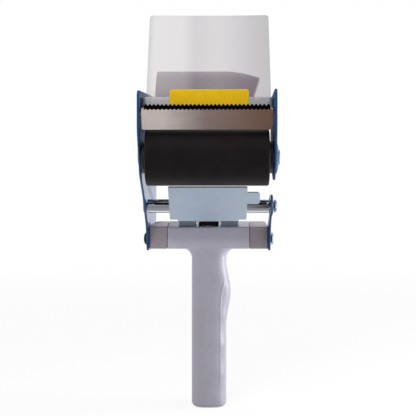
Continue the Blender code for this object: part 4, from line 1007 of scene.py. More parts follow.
BLUE = Enamel("blue_enamel", "blue_paint", (0.004, 0.045, 0.15), 0.2)
CHEEK_BLUE = Enamel("cheek_enamel", "blue_paint", (0.004, 0.045, 0.15), 0.5)
ZINC = Plating("zinc_plating", "zinc_plate", (0.5, 0.52, 0.53), 0.3)
BAR_ZINC = Plating("bar_zinc", "zinc_plate", (0.7, 0.715, 0.74), 0.3, (0.78, 0.735, 0.73), shine=0.7)
# The keeper plate's top edge, above 156.6 mm, is painted shadow.
PAD_ZINC = Plating("pad_zinc", "zinc_plate", (0.37, 0.445, 0.56), 0.3, (0.41, 0.465, 0.54), 0.04, 0.5,
                   shadow_above=0.1566)
NUT_CHROME = Polished("nut_chrome", "chrome", (0.23, 0.26, 0.325), 0.28)
STEEL = Polished("turned_steel", "bare_steel", (0.5, 0.5, 0.52), 0.22)
BLADE = BrushedSteel("brushed_blade", "bare_steel", (0.32, 0.235, 0.215), 0.34)
CHROME = Polished("chrome_plate", "chrome", (0.64, 0.67, 0.73), 0.07)
# The handle's fade stops are painted light and shade: darker low on the grip, lighter below the head,
# shade under the keeper and lighter top facets.
GREY = Moulding("grey_moulding", "grey_plastic", (0.335, 0.32, 0.385), 0.33,
                fade=((0.0, 0.84), (0.07, 0.88), (0.095, 0.98), (0.112, 1.2), (0.117, 1.35),
                      (0.122, 1.14), (0.128, 1.22), (0.131, 1.4), (0.135, 1.4)),
                # The box is painted shade in the spring slot.
                slot_shade=((-0.0074, -0.0129, 0.121), (0.0074, 0.0104, 0.136)))
DRUM = Moulding("drum_moulding", "grey_plastic", (0.28, 0.255, 0.275), 0.4)
# The end caps' fade stops paint their top facets lighter, as painted light from above.
CAPS = Moulding("end_cap_moulding", "cap_plastic", (0.265, 0.232, 0.258), 0.33,
                fade=((0.0, 1.0), (0.122, 1.0), (0.127, 1.05), (0.1305, 1.6), (0.135, 1.65)))
BLACK = Moulding("black_moulding", "black_plastic", (0.012, 0.011, 0.012), 0.38, shift=0.2)
RUBBER = Rubber("black_rubber_cover", "black_rubber", (0.0075, 0.0052, 0.0062), 0.5)
OXIDE = Polished("black_oxide_steel", "black_oxide", (0.01, 0.01, 0.012), 0.4)
CLEAR = ClearFilm("clear_sheet", "clear_film", (0.12, 0.06, 0.12), 0.1)
YELLOW = Printed("yellow_vinyl", "yellow_film", (0.7, 0.43, 0.004), 0.35)
FIBRE = Fibre("friction_fibre", "fibre", (0.16, 0.07, 0.04), 0.85)
FINISHES = {finish.slot: finish for finish in (
    BLUE, ZINC, STEEL, CHROME, GREY, CAPS, BLACK, RUBBER, OXIDE, CLEAR, YELLOW, FIBRE)}


def install(piece: Piece, body: str, finish: Finish, *nodes: str) -> Piece:
    """Dress a piece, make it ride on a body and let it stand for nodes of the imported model.

    Args:
        piece: The piece.
        body: The body that it rides on.
        finish: Its finish.
        nodes: The nodes that it replaces.

    Returns:
        The piece.
    """
    piece.data.materials.clear()
    piece.data.materials.append(finish.material())
    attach(piece, body)
    if nodes:
        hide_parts(*nodes)
    LOG.info("%s rides on %s", piece.name, body)
    return piece


def dress_nodes() -> None:
    """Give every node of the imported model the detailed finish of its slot."""
    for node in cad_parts.values():
        for socket in node.material_slots:
            socket.material = FINISHES[socket.material.name.split(".")[0]].material()


# Turned profiles

def profile(*corners: Corner) -> Array:
    """Open profile for turning, from (station, radius, rounding) corners."""
    return bent(corners)


def ring(name: str, node: str, bore: float, ease: float = 0.4 * MM) -> Piece:
    """Washer or tube in a node's place, its outer edges rounded twice as much as the inner."""
    corners = box_corners(*span_of(node), radius_of(node), bore, ease, ease / 2)
    return turned(name, rounded(corners, 5), axis_of(node), closed=True)


def fit_ring(name: str, node: str, bore: float, body: str, finish: Finish) -> None:
    """Make a ring in a node's place and dress it."""
    install(ring(name, node, bore), body, finish, node)


def domed(base: float, radius: float, height: float, steps: int = 14) -> Array:
    """Profile of a dome from its rim to its apex: a quarter ellipse."""
    angle = np.linspace(0, math.pi / 2, steps)
    return np.stack((base + height * np.sin(angle), radius * np.cos(angle)), 1)


def hexagon(flats: float) -> Turning:
    """Shape for turning that keeps the radius within a hexagon, so that a cone cuts its corners."""
    return lambda station, radius, angle: (
        station, np.minimum(radius, flats / 2 / np.cos(np.mod(angle, TURN / 6) - TURN / 12)))


# Side frames

@dataclass
class SideFrames:
    """Blue enamelled plates: one deep plate on the left, two smaller ones on the right."""

    roller_margin: float = 15.5 * MM
    roller_front_margin: float = 19 * MM
    front_round: float = 16 * MM
    heel_round: float = 7 * MM
    top_round: float = 5 * MM
    rear_round: float = 22 * MM
    below_head: float = 1.2 * MM
    top_rise: float = 8.7 * MM
    rod_reach: float = 16 * MM
    rod_rise: float = 5.3 * MM
    head_reach: float = 8 * MM
    rear_lift: float = 17 * MM
    beyond_hub: float = 51.5 * MM
    above_hub: float = 25 * MM
    cheek_rise: float = 1.4 * MM
    cheek_depth: float = 50 * MM
    cheek_boss: float = 10.8 * MM
    cheek_boss_height: float = 1.9 * MM
    tongue_rise: float = 8 * MM
    tongue_reach: float = 8 * MM
    small_boss: float = 6.4 * MM
    small_boss_height: float = 1.2 * MM
    rivet_hole: float = 1.45 * MM
    axle_hole: float = 4.2 * MM
    bolt_hole: float = 2.7 * MM
    rib_half: float = 4.2 * MM
    rib_height: float = 1.3 * MM
    lower_rib: tuple[Pair, Pair] = ((-24 * MM, 160 * MM), (34 * MM, 146 * MM))
    upper_rib: tuple[Pair, Pair] = ((-34 * MM, 189 * MM), (-20 * MM, 217 * MM))
    corner_steps: int = 14
    rim: float = 0.6 * MM
    left_pitch: Pair = (1.8 * MM, 1.8 * MM)
    right_pitch: Pair = (2 * MM, 2 * MM)

    def front_edge(self) -> list[Corner]:
        """Corners of the front edge, from the roller down to the handle.

        Returns:
            The corners with their radii.
        """
        rod_y, rod_z = ROD_AXIS
        roller_y, roller_z = ROLLER_AXIS
        margin = self.roller_margin
        return [
            (roller_y - self.roller_front_margin, roller_z + margin, self.front_round),
            (roller_y - margin / 8, roller_z - margin * 4 / 5, self.front_round),
            (rod_y - self.rod_reach, rod_z + self.rod_rise, self.front_round),
            (HEAD_FRONT - self.head_reach, HEAD_FRONT_TOP, self.front_round),
            (HEAD_FRONT - self.below_head, HEAD_BOTTOM - self.below_head, self.heel_round / 2),
        ]

    def rivet_holes(self, side: Side) -> list[Array]:
        """Holes for the crossbar's two rivets on one side."""
        return [circle(axis_of(node), self.rivet_hole) for node in rivet_nodes(side)]

    def left(self) -> Piece:
        """Deep plate with two slanting pressed ribs.

        Returns:
            The piece.
        """
        rear = HUB_AXIS[0] + self.beyond_hub
        bottom = HEAD_BOTTOM - self.below_head
        front = ROLLER_AXIS[0] - self.roller_front_margin
        outline = rounded([
            *self.front_edge(),
            (HEAD_REAR + self.below_head, bottom, self.heel_round),
            (rear, bottom + self.rear_lift, self.rear_round),
            (rear, HUB_AXIS[1] + self.above_hub, self.rear_round),
            (front, BLADE_TOP + self.top_rise, self.top_round),
        ], self.corner_steps)
        ribs = [rib_relief(*ends, self.rib_half, -self.rib_height)
                for ends in (self.lower_rib, self.upper_rib)]
        plate = Blank(outline, on_side, -OUTER_SIDE, -INNER_SIDE, self.rivet_holes(Side.LEFT),
                      pitch=self.left_pitch, rim=self.rim, relief=together(*ribs))
        return plate.build("left_frame")

    def cheek(self) -> Piece:
        """Upper right plate with a pressed dome round the roller's axle.

        Returns:
            The piece.
        """
        roller_y, roller_z = ROLLER_AXIS
        margin = self.roller_margin
        front = roller_y - self.roller_front_margin
        rear = front + self.cheek_depth
        top = BLADE_TOP + self.top_rise + self.cheek_rise
        outline = rounded([
            (front, roller_z + margin, self.front_round),
            (roller_y - margin * 4 / 5, roller_z - margin / 3, self.heel_round),
            (roller_y + margin / 4, roller_z - margin, self.heel_round),
            (roller_y + margin * 3 / 2, roller_z - margin / 2, self.heel_round),
            (rear, roller_z + margin, self.front_round),
            (rear, top - self.cheek_rise, self.top_round),
            (front, top, self.top_round),
        ], self.corner_steps)
        relief = dome_relief(ROLLER_AXIS, self.cheek_boss, self.cheek_boss_height)
        axle_hole = circle(ROLLER_AXIS, self.axle_hole, SMALL_STEPS)
        plate = Blank(outline, on_side, INNER_SIDE, OUTER_SIDE,
                      [*self.rivet_holes(Side.RIGHT), axle_hole],
                      pitch=self.right_pitch, rim=self.rim, relief=relief,
                      extra=[ring_points(ROLLER_AXIS, self.cheek_boss)])
        return plate.build("right_cheek")

    def lower(self) -> Piece:
        """Lower right plate with a pressed dome round each bolt.

        Returns:
            The piece.
        """
        rod_y, rod_z = ROD_AXIS
        bottom = HEAD_BOTTOM - self.below_head
        back = rod_y + self.tongue_reach
        outline = rounded([
            (rod_y - self.rod_reach - self.rod_rise / 2, rod_z + self.tongue_rise, self.top_round),
            *self.front_edge()[3:],
            (HEAD_REAR, bottom, self.heel_round),
            (HEAD_REAR, HEAD_FRONT_TOP - self.below_head, self.heel_round),
            (0, HEAD_FRONT_TOP, self.front_round),
            (back, rod_z - self.tongue_rise / 2, self.heel_round),
            (back, rod_z + self.tongue_rise, self.top_round),
        ], self.corner_steps)
        bolts = (ROD_AXIS, TIE_AXIS)
        domes = [dome_relief(axis, self.small_boss, self.small_boss_height) for axis in bolts]
        plate = Blank(outline, on_side, INNER_SIDE, OUTER_SIDE,
                      [circle(axis, self.bolt_hole) for axis in bolts],
                      pitch=self.right_pitch, rim=self.rim, relief=together(*domes),
                      extra=[ring_points(axis, self.small_boss) for axis in bolts])
        return plate.build("right_lower_frame")

    def build(self) -> None:
        """Make and dress the three plates."""
        install(self.left(), "frame", BLUE, "side_plate_left")
        install(self.cheek(), "frame", CHEEK_BLUE, "cheek_plate_right")
        install(self.lower(), "frame", BLUE, "side_plate_right_lower")


# Crossbar, cutter and label

@dataclass
class Cutter:
    """Zinc crossbar with its label, its rivets and the toothed blade in front of it."""

    thickness: float = 1.5 * MM
    bend: float = 1.8 * MM
    flange_length: float = 10.5 * MM
    web_depth: float = 14.6 * MM
    upright_height: float = 9.2 * MM
    tab_rise: float = 5 * MM
    tab_width: float = 51.3 * MM
    tab_offset: float = 1.2 * MM
    tab_corner: float = 2.2 * MM
    end_length: float = 15 * MM
    tilt: float = math.radians(17.7)
    blade_height: float = 16.5 * MM
    blade_thickness: float = 0.8 * MM
    teeth: int = 31
    tooth_pitch: float = 2.56 * MM
    tooth_depth: float = 1.4 * MM
    shoulder_drop: float = 3.6 * MM
    ground_depth: float = 1.75 * MM
    ground_wave: float = 0.9 * MM
    ground_lip: float = 0.05 * MM
    ground_room: float = 0.2 * MM
    ground_margin: float = 0.02 * MM
    blade_rim: float = 0.12 * MM
    blade_corner: float = 0.5 * MM
    blade_ease: float = 0.15 * MM
    tooth_edge: float = 0.01 * MM
    tooth_steps: int = 8
    bend_steps: int = 10
    sheet_corner: float = 1 * MM
    step_corner: float = 2 * MM
    tab_foot: float = 0.8 * MM
    label_corner: float = 1.6 * MM
    label_rim: float = 0.06 * MM
    rivet_head: float = 2.8 * MM
    rivet_height: float = 1.3 * MM
    rivet_body: float = 1.42 * MM
    rivet_tail: float = 0.3 * MM
    rivet_proud: float = 0.05 * MM
    web_pitch: Pair = (4 * MM, 0.45 * MM)
    upright_pitch: Pair = (0.7 * MM, 2 * MM)
    blade_sharp: float = math.radians(20)
    edge_depths: Pair = (-0.1, 0.75)

    def up(self) -> Array:
        """Direction up the blade in (Y, Z)."""
        return np.array((-math.sin(self.tilt), math.cos(self.tilt)))

    def back(self) -> Array:
        """Direction out of the blade's back in (Y, Z)."""
        return np.array((math.cos(self.tilt), math.sin(self.tilt)))

    def crossbar(self) -> Piece:
        """Channel of two folded sheets: the flange with its web, and the upright with its ends.

        Returns:
            The piece.
        """
        _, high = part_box("crossbar")
        side = high[0] - self.thickness / 2
        upright = high[1] - self.end_length
        top = high[2]
        web = top - self.tab_rise - self.upright_height
        flange_top = np.array((upright - self.web_depth, web))
        flange_foot = flange_top - self.up() * self.flange_length
        corner = self.sheet_corner
        line = bent([(*flange_foot, 0), (*flange_top, self.bend), (upright, web, 0)], self.bend_steps)
        flat = rounded(box_corners(-side, side, 0, length_of(line), corner, 0))
        shell = Blank(flat, folded(line, Fold.SIDE), -self.thickness / 2, self.thickness / 2,
                      pitch=self.web_pitch).into(Shell())
        plan = bent([(-side, high[1], 0), (-side, upright, self.bend), (side, upright, self.bend),
                     (side, high[1], 0)], self.bend_steps)
        reach = length_of(plan)
        middle = reach / 2 + self.tab_offset
        step = top - self.tab_rise
        foot = web - self.thickness / 2
        half = self.tab_width / 2
        blank = rounded([
            (0, foot, corner), (reach, foot, corner), (reach, step, self.step_corner),
            (middle + half, step, self.tab_foot), (middle + half, top, self.tab_corner),
            (middle - half, top, self.tab_corner), (middle - half, step, self.tab_foot),
            (0, step, self.step_corner),
        ])
        Blank(blank, folded(plan, Fold.PLAN), -self.thickness / 2, self.thickness / 2,
              pitch=self.upright_pitch).into(shell)
        return shell.build("zinc_crossbar")

    def label(self) -> Piece:
        """Plain sticker with rounded corners.

        Returns:
            The piece.
        """
        low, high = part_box("plain_label")
        ease = self.label_corner
        outline = rounded(box_corners(low[0], high[0], low[2], high[2], ease, ease))
        return Blank(outline, on_front, low[1], high[1], rim=self.label_rim).build("plain_sticker")

    def toothed_half(self) -> float:
        """Half of the width that has teeth."""
        return self.teeth * self.tooth_pitch / 2

    def between(self, x: Array) -> Array:
        """Triangle wave: 0 at each tooth's point and 1 between two teeth."""
        phase = np.mod((x + self.toothed_half()) / self.tooth_pitch, 1)
        return np.abs(2 * phase - 1)

    def top_edge(self, x: Array) -> Array:
        """Height of the blade's top edge: a triangle wave of teeth, and a lower shoulder.

        Args:
            x: Places along the blade.

        Returns:
            Heights above the blade's foot.
        """
        drop = np.where(np.abs(x) < self.toothed_half(), self.tooth_depth * self.between(x),
                        self.shoulder_drop)
        return self.blade_height - drop

    def ground_edge(self, x: Array) -> Array:
        """Height where the grinding starts: lowest between the teeth, and below the top edge."""
        drop = self.tooth_depth + self.ground_depth + self.ground_wave * self.between(x)
        return np.minimum(self.blade_height - drop, self.top_edge(x) - self.ground_room)

    def blade(self) -> Piece:
        """Blade as a closed section carried along X, its front ground away up to the teeth.

        Returns:
            The piece.
        """
        low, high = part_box("cutter_blade")
        half, thick, rim = high[0], self.blade_thickness / 2, self.blade_rim
        foot = np.array((high[1] - thick * math.cos(self.tilt), low[2] + thick * math.sin(self.tilt)))
        toothed, edge = self.toothed_half(), self.tooth_edge
        inner = np.linspace(-toothed, toothed, self.teeth * self.tooth_steps + 1)
        outer = np.array((toothed + edge, half - self.blade_corner, half - self.blade_ease, half))
        x = np.concatenate((-outer[::-1], inner, outer))
        x[len(outer)] += edge / 10
        x[-len(outer) - 1] -= edge / 10
        ground = self.ground_edge(x)
        bottom = np.zeros(len(x))
        bottom[[0, -1]] = self.blade_corner
        bottom[[1, -2]] = self.blade_ease
        top = self.top_edge(x) - bottom
        levels = [bottom + rim, bottom, bottom, bottom + rim, ground - self.ground_lip, ground,
                  (ground + top) / 2, top, top]
        depths = [thick, thick - rim, rim - thick, -thick, -thick, -thick,
                  *(thick * share for share in self.edge_depths), thick]
        level = np.stack(levels, 1)
        depth = np.broadcast_to(np.array(depths), level.shape)
        place = foot + level[..., None] * self.up() + depth[..., None] * self.back()
        points = np.dstack((np.repeat(x[:, None], level.shape[1], axis=1), place))
        shell = Shell()
        shell.grid(points, wrap_columns=True, caps=True)
        piece = shell.build("toothed_blade", self.blade_sharp)
        self.mark_ground(piece, foot)
        return piece

    def mark_ground(self, piece: Piece, foot: Array) -> None:
        """Write 1 to the ground attribute of the vertices above the grinding's lower edge.

        Args:
            piece: The blade.
            foot: Its foot in (Y, Z).
        """
        spots = np.empty(len(piece.data.vertices) * 3)
        piece.data.vertices.foreach_get("co", spots)
        spots = spots.reshape(-1, 3)
        level = (spots[:, 1:] - foot) @ self.up()
        ground = (level > self.ground_edge(spots[:, 0]) - self.ground_margin).astype(float)
        ground[np.abs(spots[:, 0]) > self.toothed_half()] = 0
        layer = piece.data.attributes.new("ground", "FLOAT", "POINT")
        layer.data.foreach_set("value", ground)

    def rivet(self, node: str, side: Side) -> Piece:
        """Rivet along X, peened almost flush outside and domed inside.

        Args:
            node: The rivet's node.
            side: The side that it is on.

        Returns:
            The piece.
        """
        tail, crown = span_of(node) if side is Side.LEFT else span_of(node)[::-1]
        outward = side.value
        seat = crown + outward * self.rivet_height
        head = domed(seat, self.rivet_head, crown - seat)
        end = tail - outward * self.rivet_proud
        peened = domed(end, self.rivet_body, outward * self.rivet_tail)[::-1]
        points = np.vstack((peened, [(seat, self.rivet_body)], head))
        return turned(node.replace("crossbar", "bar"), points, axis_of(node), steps=40)

    def build(self) -> None:
        """Make and dress the crossbar, label, blade and rivets."""
        install(self.crossbar(), "frame", BAR_ZINC, "crossbar")
        install(self.label(), "frame", YELLOW, "plain_label")
        install(self.blade(), "frame", BLADE, "cutter_blade")
        for side in Side:
            for node in rivet_nodes(side):
                install(self.rivet(node, side), "frame", ZINC, node)


# Flap

@dataclass
class Flap:
    """Clear sheet that stands behind the crossbar and leans back."""

    thickness: float = 0.5 * MM
    lean: float = math.radians(27.3)
    length: float = 61.7 * MM
    foot: float = 12.5 * MM
    corner: float = 2.4 * MM
    bend: float = 9 * MM
    bow: float = 0.5 * MM
    left_trim: float = 0.7 * MM
    right_over: float = 0.9 * MM
    foot_corner: float = 1 * MM
    rim: float = 0.15 * MM
    pitch: Pair = (3 * MM, 1.5 * MM)

    def sheet(self) -> Piece:
        """Sheet bent at its foot and bowed a little across its width.

        Returns:
            The piece.
        """
        low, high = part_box("tape_flap")
        half = high[0]
        y = low[1] + self.thickness / 2
        top = self.foot + self.length
        line = bent([
            (y, low[2], 0), (y, low[2] + self.foot, self.bend),
            (y + self.length * math.sin(self.lean),
             low[2] + self.foot + self.length * math.cos(self.lean), 0),
        ], 16)
        outline = rounded(box_corners(self.left_trim - half, half + self.right_over, 0,
                                      length_of(line), self.foot_corner, self.corner), 12)

        def bowed(u: Array, v: Array) -> Array:
            """Bow across the width that grows up the sheet."""
            return -self.bow * (1 - (u / half) ** 2) * np.clip(v / top, 0, 1) ** 2
        sheet = Blank(outline, folded(line, Fold.SIDE), -self.thickness / 2, self.thickness / 2,
                      pitch=self.pitch, rim=self.rim, relief=bowed)
        return sheet.build("clear_flap")

    def build(self) -> None:
        """Make and dress the sheet."""
        install(self.sheet(), "frame", CLEAR, "tape_flap")


# Roller

@dataclass
class Roller:
    """Rubber covered roller on its riveted axle."""

    rubber: float = 4.2 * MM
    core_wall: float = 4 * MM
    end_wall: float = 6 * MM
    axle: float = 4 * MM
    head: float = 5.2 * MM
    head_height: float = 0.8 * MM
    shoulder: float = 1.1 * MM
    ease: float = 0.4 * MM
    dish: float = 1.4 * MM
    dish_round: float = 2 * MM
    collar_foot: float = 2 * MM
    collar_top: float = 1.6 * MM
    dimple: float = 1.6 * MM
    dimple_drops: Corner = (0.1 * MM, 0.3 * MM, 0.4 * MM)
    sleeve_steps: int = 160

    def sleeve(self) -> Piece:
        """Rubber cover with rounded shoulders.

        Returns:
            The piece.
        """
        outer = radius_of("roller_sleeve")
        corners = box_corners(*span_of("roller_sleeve"), outer, outer - self.rubber, self.shoulder,
                              self.ease)
        section = resampled(rounded(corners), 2 * MM)
        return turned("rubber_cover", section, ROLLER_AXIS, True, self.sleeve_steps)

    def core(self) -> Piece:
        """Spool whose ends are dished round the axle.

        Returns:
            The piece.
        """
        low, high = span_of("roller_core")
        outer = radius_of("roller_core")
        bore, wall, ease = self.axle + GAP, self.end_wall, self.ease
        inner = outer - self.core_wall
        dish = high - self.dish
        half = [(high, outer, ease), (high, inner, ease), (dish, inner - self.dish, ease),
                (dish, bore + self.collar_foot, ease), (high, bore + self.collar_top, ease),
                (high, bore, ease), (high - wall, bore, ease), (high - wall, inner, self.dish_round)]
        other = [(low + high - x, r, e) for x, r, e in reversed(half)]
        return turned("roller_spool", rounded([*half, *other], 5), ROLLER_AXIS, True)

    def shaft(self) -> Piece:
        """Axle with both ends riveted over and dimpled.

        Returns:
            The piece.
        """
        low, high = span_of("roller_axle")
        rise = self.head_height
        dome = domed(high - rise, self.head, rise)
        dome[-3:, 0] -= np.array(self.dimple_drops) * (dome[-3:, 1] < self.dimple)
        tail = domed(low + rise, self.head, -rise)[::-1]
        points = np.vstack((tail, [(low + rise, self.axle), (high - rise, self.axle)], dome))
        return turned("riveted_axle", points, ROLLER_AXIS)

    def build(self) -> None:
        """Make and dress the roller's pieces."""
        install(self.sleeve(), "roller", RUBBER, "roller_sleeve")
        install(self.core(), "roller", BLACK, "roller_core")
        install(self.shaft(), "frame", ZINC, "roller_axle")
        for side in Side:
            name = side.word()
            fit_ring("roller_spacer_" + name, "axle_spacer_" + name, self.axle + GAP, "frame", BLACK)


# Guide rod

@dataclass
class GuideRod:
    """Chrome tube that turns one way on its axle, and the dome nut that holds it."""

    axle: float = 2.5 * MM
    clutch: float = 4 * MM
    head: float = 4.4 * MM
    head_height: float = 0.8 * MM
    nut_wall: float = 0.7 * MM
    ease: float = 0.5 * MM
    seat: float = 12.3 * MM
    chamfer: float = 0.4 * MM
    ring_ease: float = 0.3 * MM

    def tube(self) -> Piece:
        """Tube with chamfered ends, a seat in each for the clutch and bush.

        Returns:
            The piece.
        """
        low, high = span_of("one_way_rod")
        outer = radius_of("one_way_rod")
        ease, seat, bore = self.ease, self.seat, self.axle + GAP
        corners = [
            (low, outer, ease), (high, outer, ease), (high, self.clutch, ease / 2),
            (high - seat, self.clutch, 0), (high - seat, bore, 0), (low + seat, bore, 0),
            (low + seat, self.clutch, 0), (low, self.clutch, ease / 2),
        ]
        return turned("chrome_tube", resampled(rounded(corners, 5), 4 * MM), ROD_AXIS, True)

    def axle_bar(self) -> Piece:
        """Axle with a riveted head on the left.

        Returns:
            The piece.
        """
        low, high = span_of("rod_axle")
        rise = self.head_height
        tail = domed(low + rise, self.head, -rise)[::-1]
        bar = profile((low + rise, self.axle, 0), (high, self.axle, self.chamfer), (high, 0, 0))
        return turned("tube_axle", np.vstack((tail, bar)), ROD_AXIS, steps=SMALL_STEPS)

    def build(self) -> None:
        """Make and dress the rod's pieces."""
        install(self.tube(), "guide_rod", CHROME, "one_way_rod")
        install(self.axle_bar(), "frame", STEEL, "rod_axle")
        nut = dome_nut("rod_dome_nut", "rod_cap_nut", self.axle, self.nut_wall)
        install(nut, "frame", NUT_CHROME, "rod_cap_nut")
        for name, node, finish in (("one_way_clutch", "rod_clutch", STEEL),
                                   ("rod_end_bush", "rod_bush", BLACK)):
            install(ring(name, node, self.axle + GAP, self.ring_ease), "guide_rod", finish, node)


def dome_nut(name: str, node: str, thread: float, wall: float, foot: float = 0.35 * MM) -> Piece:
    """Blind dome nut on a right hand boss, with a small rolled foot.

    Args:
        name: Name of the piece.
        node: Its node.
        thread: Radius of the thread.
        wall: The dome's wall.
        foot: Rounding of the foot.

    Returns:
        The piece.
    """
    low, high = span_of(node)
    radius, bore, floor = radius_of(node), thread + GAP, high - wall * 3 / 2
    dome = domed(low + foot, radius, high - low - foot)[::-1]
    inner = profile((low + foot, radius, 0), (low, radius, foot), (low, bore, 0), (floor, bore, 0),
                    (floor, 0, 0))
    return turned(name, np.vstack((dome, inner[1:])), axis_of(node), steps=64)


# Keeper

@dataclass
class Keeper:
    """Zinc plate in front of the guide rod, hinged in the cross head, and its torsion spring."""

    thickness: float = 0.8 * MM
    width: float = 53.2 * MM
    tilt: float = math.radians(40.5)
    pad: float = 35.5 * MM
    tab_reach: float = 8.6 * MM
    tab_top: float = 5.5 * MM
    tab_length: float = 12 * MM
    bend: float = 1.3 * MM
    arm_inner: float = 8.9 * MM
    arm_outer: float = 21.3 * MM
    eye: float = 2.7 * MM
    eye_bore: float = 1.75 * MM
    wire: float = 0.5 * MM
    coil: float = 2.6 * MM
    coil_pitch: float = 1.75 * MM
    turns: float = 5.25
    fixed_leg: float = 4 * MM
    moving_leg: float = 14 * MM
    corner: float = 1.2 * MM
    tab_corner: float = 2.6 * MM
    tab_foot: float = 0.8 * MM
    arm_foot: float = 0.5 * MM
    web_set_back: float = 1.4 * MM
    arm_set_back: float = 1.2 * MM
    rim: float = 0.2 * MM
    pitch: Pair = (2.5 * MM, 0.45 * MM)
    steps_per_turn: int = 28

    def plate(self) -> Piece:
        """Keeper folded from one blank: the pad with its tab, the web and two arms.

        Returns:
            The piece.
        """
        low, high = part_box("keeper_plate")
        down = np.array((math.cos(self.tilt), -math.sin(self.tilt)))
        out = np.array((-math.sin(self.tilt), -math.cos(self.tilt)))
        top = np.array((low[1] - out[0] * self.thickness / 2, high[2] + out[1] * self.thickness / 2))
        foot = top + down * self.pad
        pin_y, pin_z = PIN_AXIS
        line = bent([(*top, 0), (*foot, self.bend), (pin_y, foot[1], self.bend),
                     (pin_y, pin_z + self.eye_bore, 0)], 10)
        length = length_of(line)
        to_web = self.pad - self.web_set_back
        to_arms = length - (foot[1] - pin_z - self.eye_bore) - self.arm_set_back
        half, ease = self.width / 2, self.corner
        inner, outer, tab = self.arm_inner, self.arm_outer, half + self.tab_reach
        tab_end = self.tab_top + self.tab_length
        blank = rounded([
            (-half, 0, ease), (half, 0, ease), (half, self.tab_top, self.tab_foot),
            (tab, self.tab_top, self.tab_corner), (tab, tab_end, self.tab_corner),
            (half, tab_end, self.tab_foot), (half, to_web, ease), (outer, to_web, self.arm_foot),
            (outer, length, 0), (inner, length, 0), (inner, to_arms, ease), (-inner, to_arms, ease),
            (-inner, length, 0), (-outer, length, 0), (-outer, to_web, self.arm_foot),
            (-half, to_web, ease),
        ])
        shell = Blank(blank, folded(line, Fold.SIDE), -self.thickness / 2, self.thickness / 2,
                      pitch=self.pitch, rim=self.rim).into(Shell())
        for start, stop in ((-outer, -inner), (inner, outer)):
            corners = box_corners(start, stop, self.eye, self.eye_bore, self.rim, 0)
            turned("", rounded(corners, 4), PIN_AXIS, True, 40, shell=shell)
        return shell.build("keeper_pad")

    def spring(self) -> Piece:
        """Torsion spring: a leg down, a helix along the pin, and a leg forward under the web.

        Returns:
            The piece.
        """
        pin_y, pin_z = PIN_AXIS
        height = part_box("keeper_spring")[1][2] - self.wire
        start = -self.coil_pitch * self.turns / 2
        share = np.linspace(0, 1, round(self.turns * self.steps_per_turn))
        angle = share * self.turns * TURN
        coil = np.stack((start + share * self.turns * self.coil_pitch,
                         pin_y + self.coil * np.cos(angle), pin_z + self.coil * np.sin(angle)), 1)
        drop = np.linspace(1, 0.1, 8)[:, None]
        leg_in = coil[0] - np.array((0, 0, self.fixed_leg)) * drop
        end = np.array((-start, pin_y - self.moving_leg, height))
        middle = np.array((-start, pin_y - self.moving_leg / 2, height))
        ahead = np.linspace(0.15, 1, 8)[:, None]
        leg_out = np.vstack((coil[-1] + (middle - coil[-1]) * ahead, middle + (end - middle) * ahead))
        path = np.vstack((leg_in, coil, leg_out))
        guide = np.tile((1.0, 0.0, 0.0), (len(path), 1))
        return tube("torsion_spring", path, guide, self.wire)

    def build(self) -> None:
        """Make and dress the keeper and its spring."""
        install(self.plate(), "keeper", PAD_ZINC, "keeper_plate")
        install(self.spring(), "frame", OXIDE, "keeper_spring")


# Handle

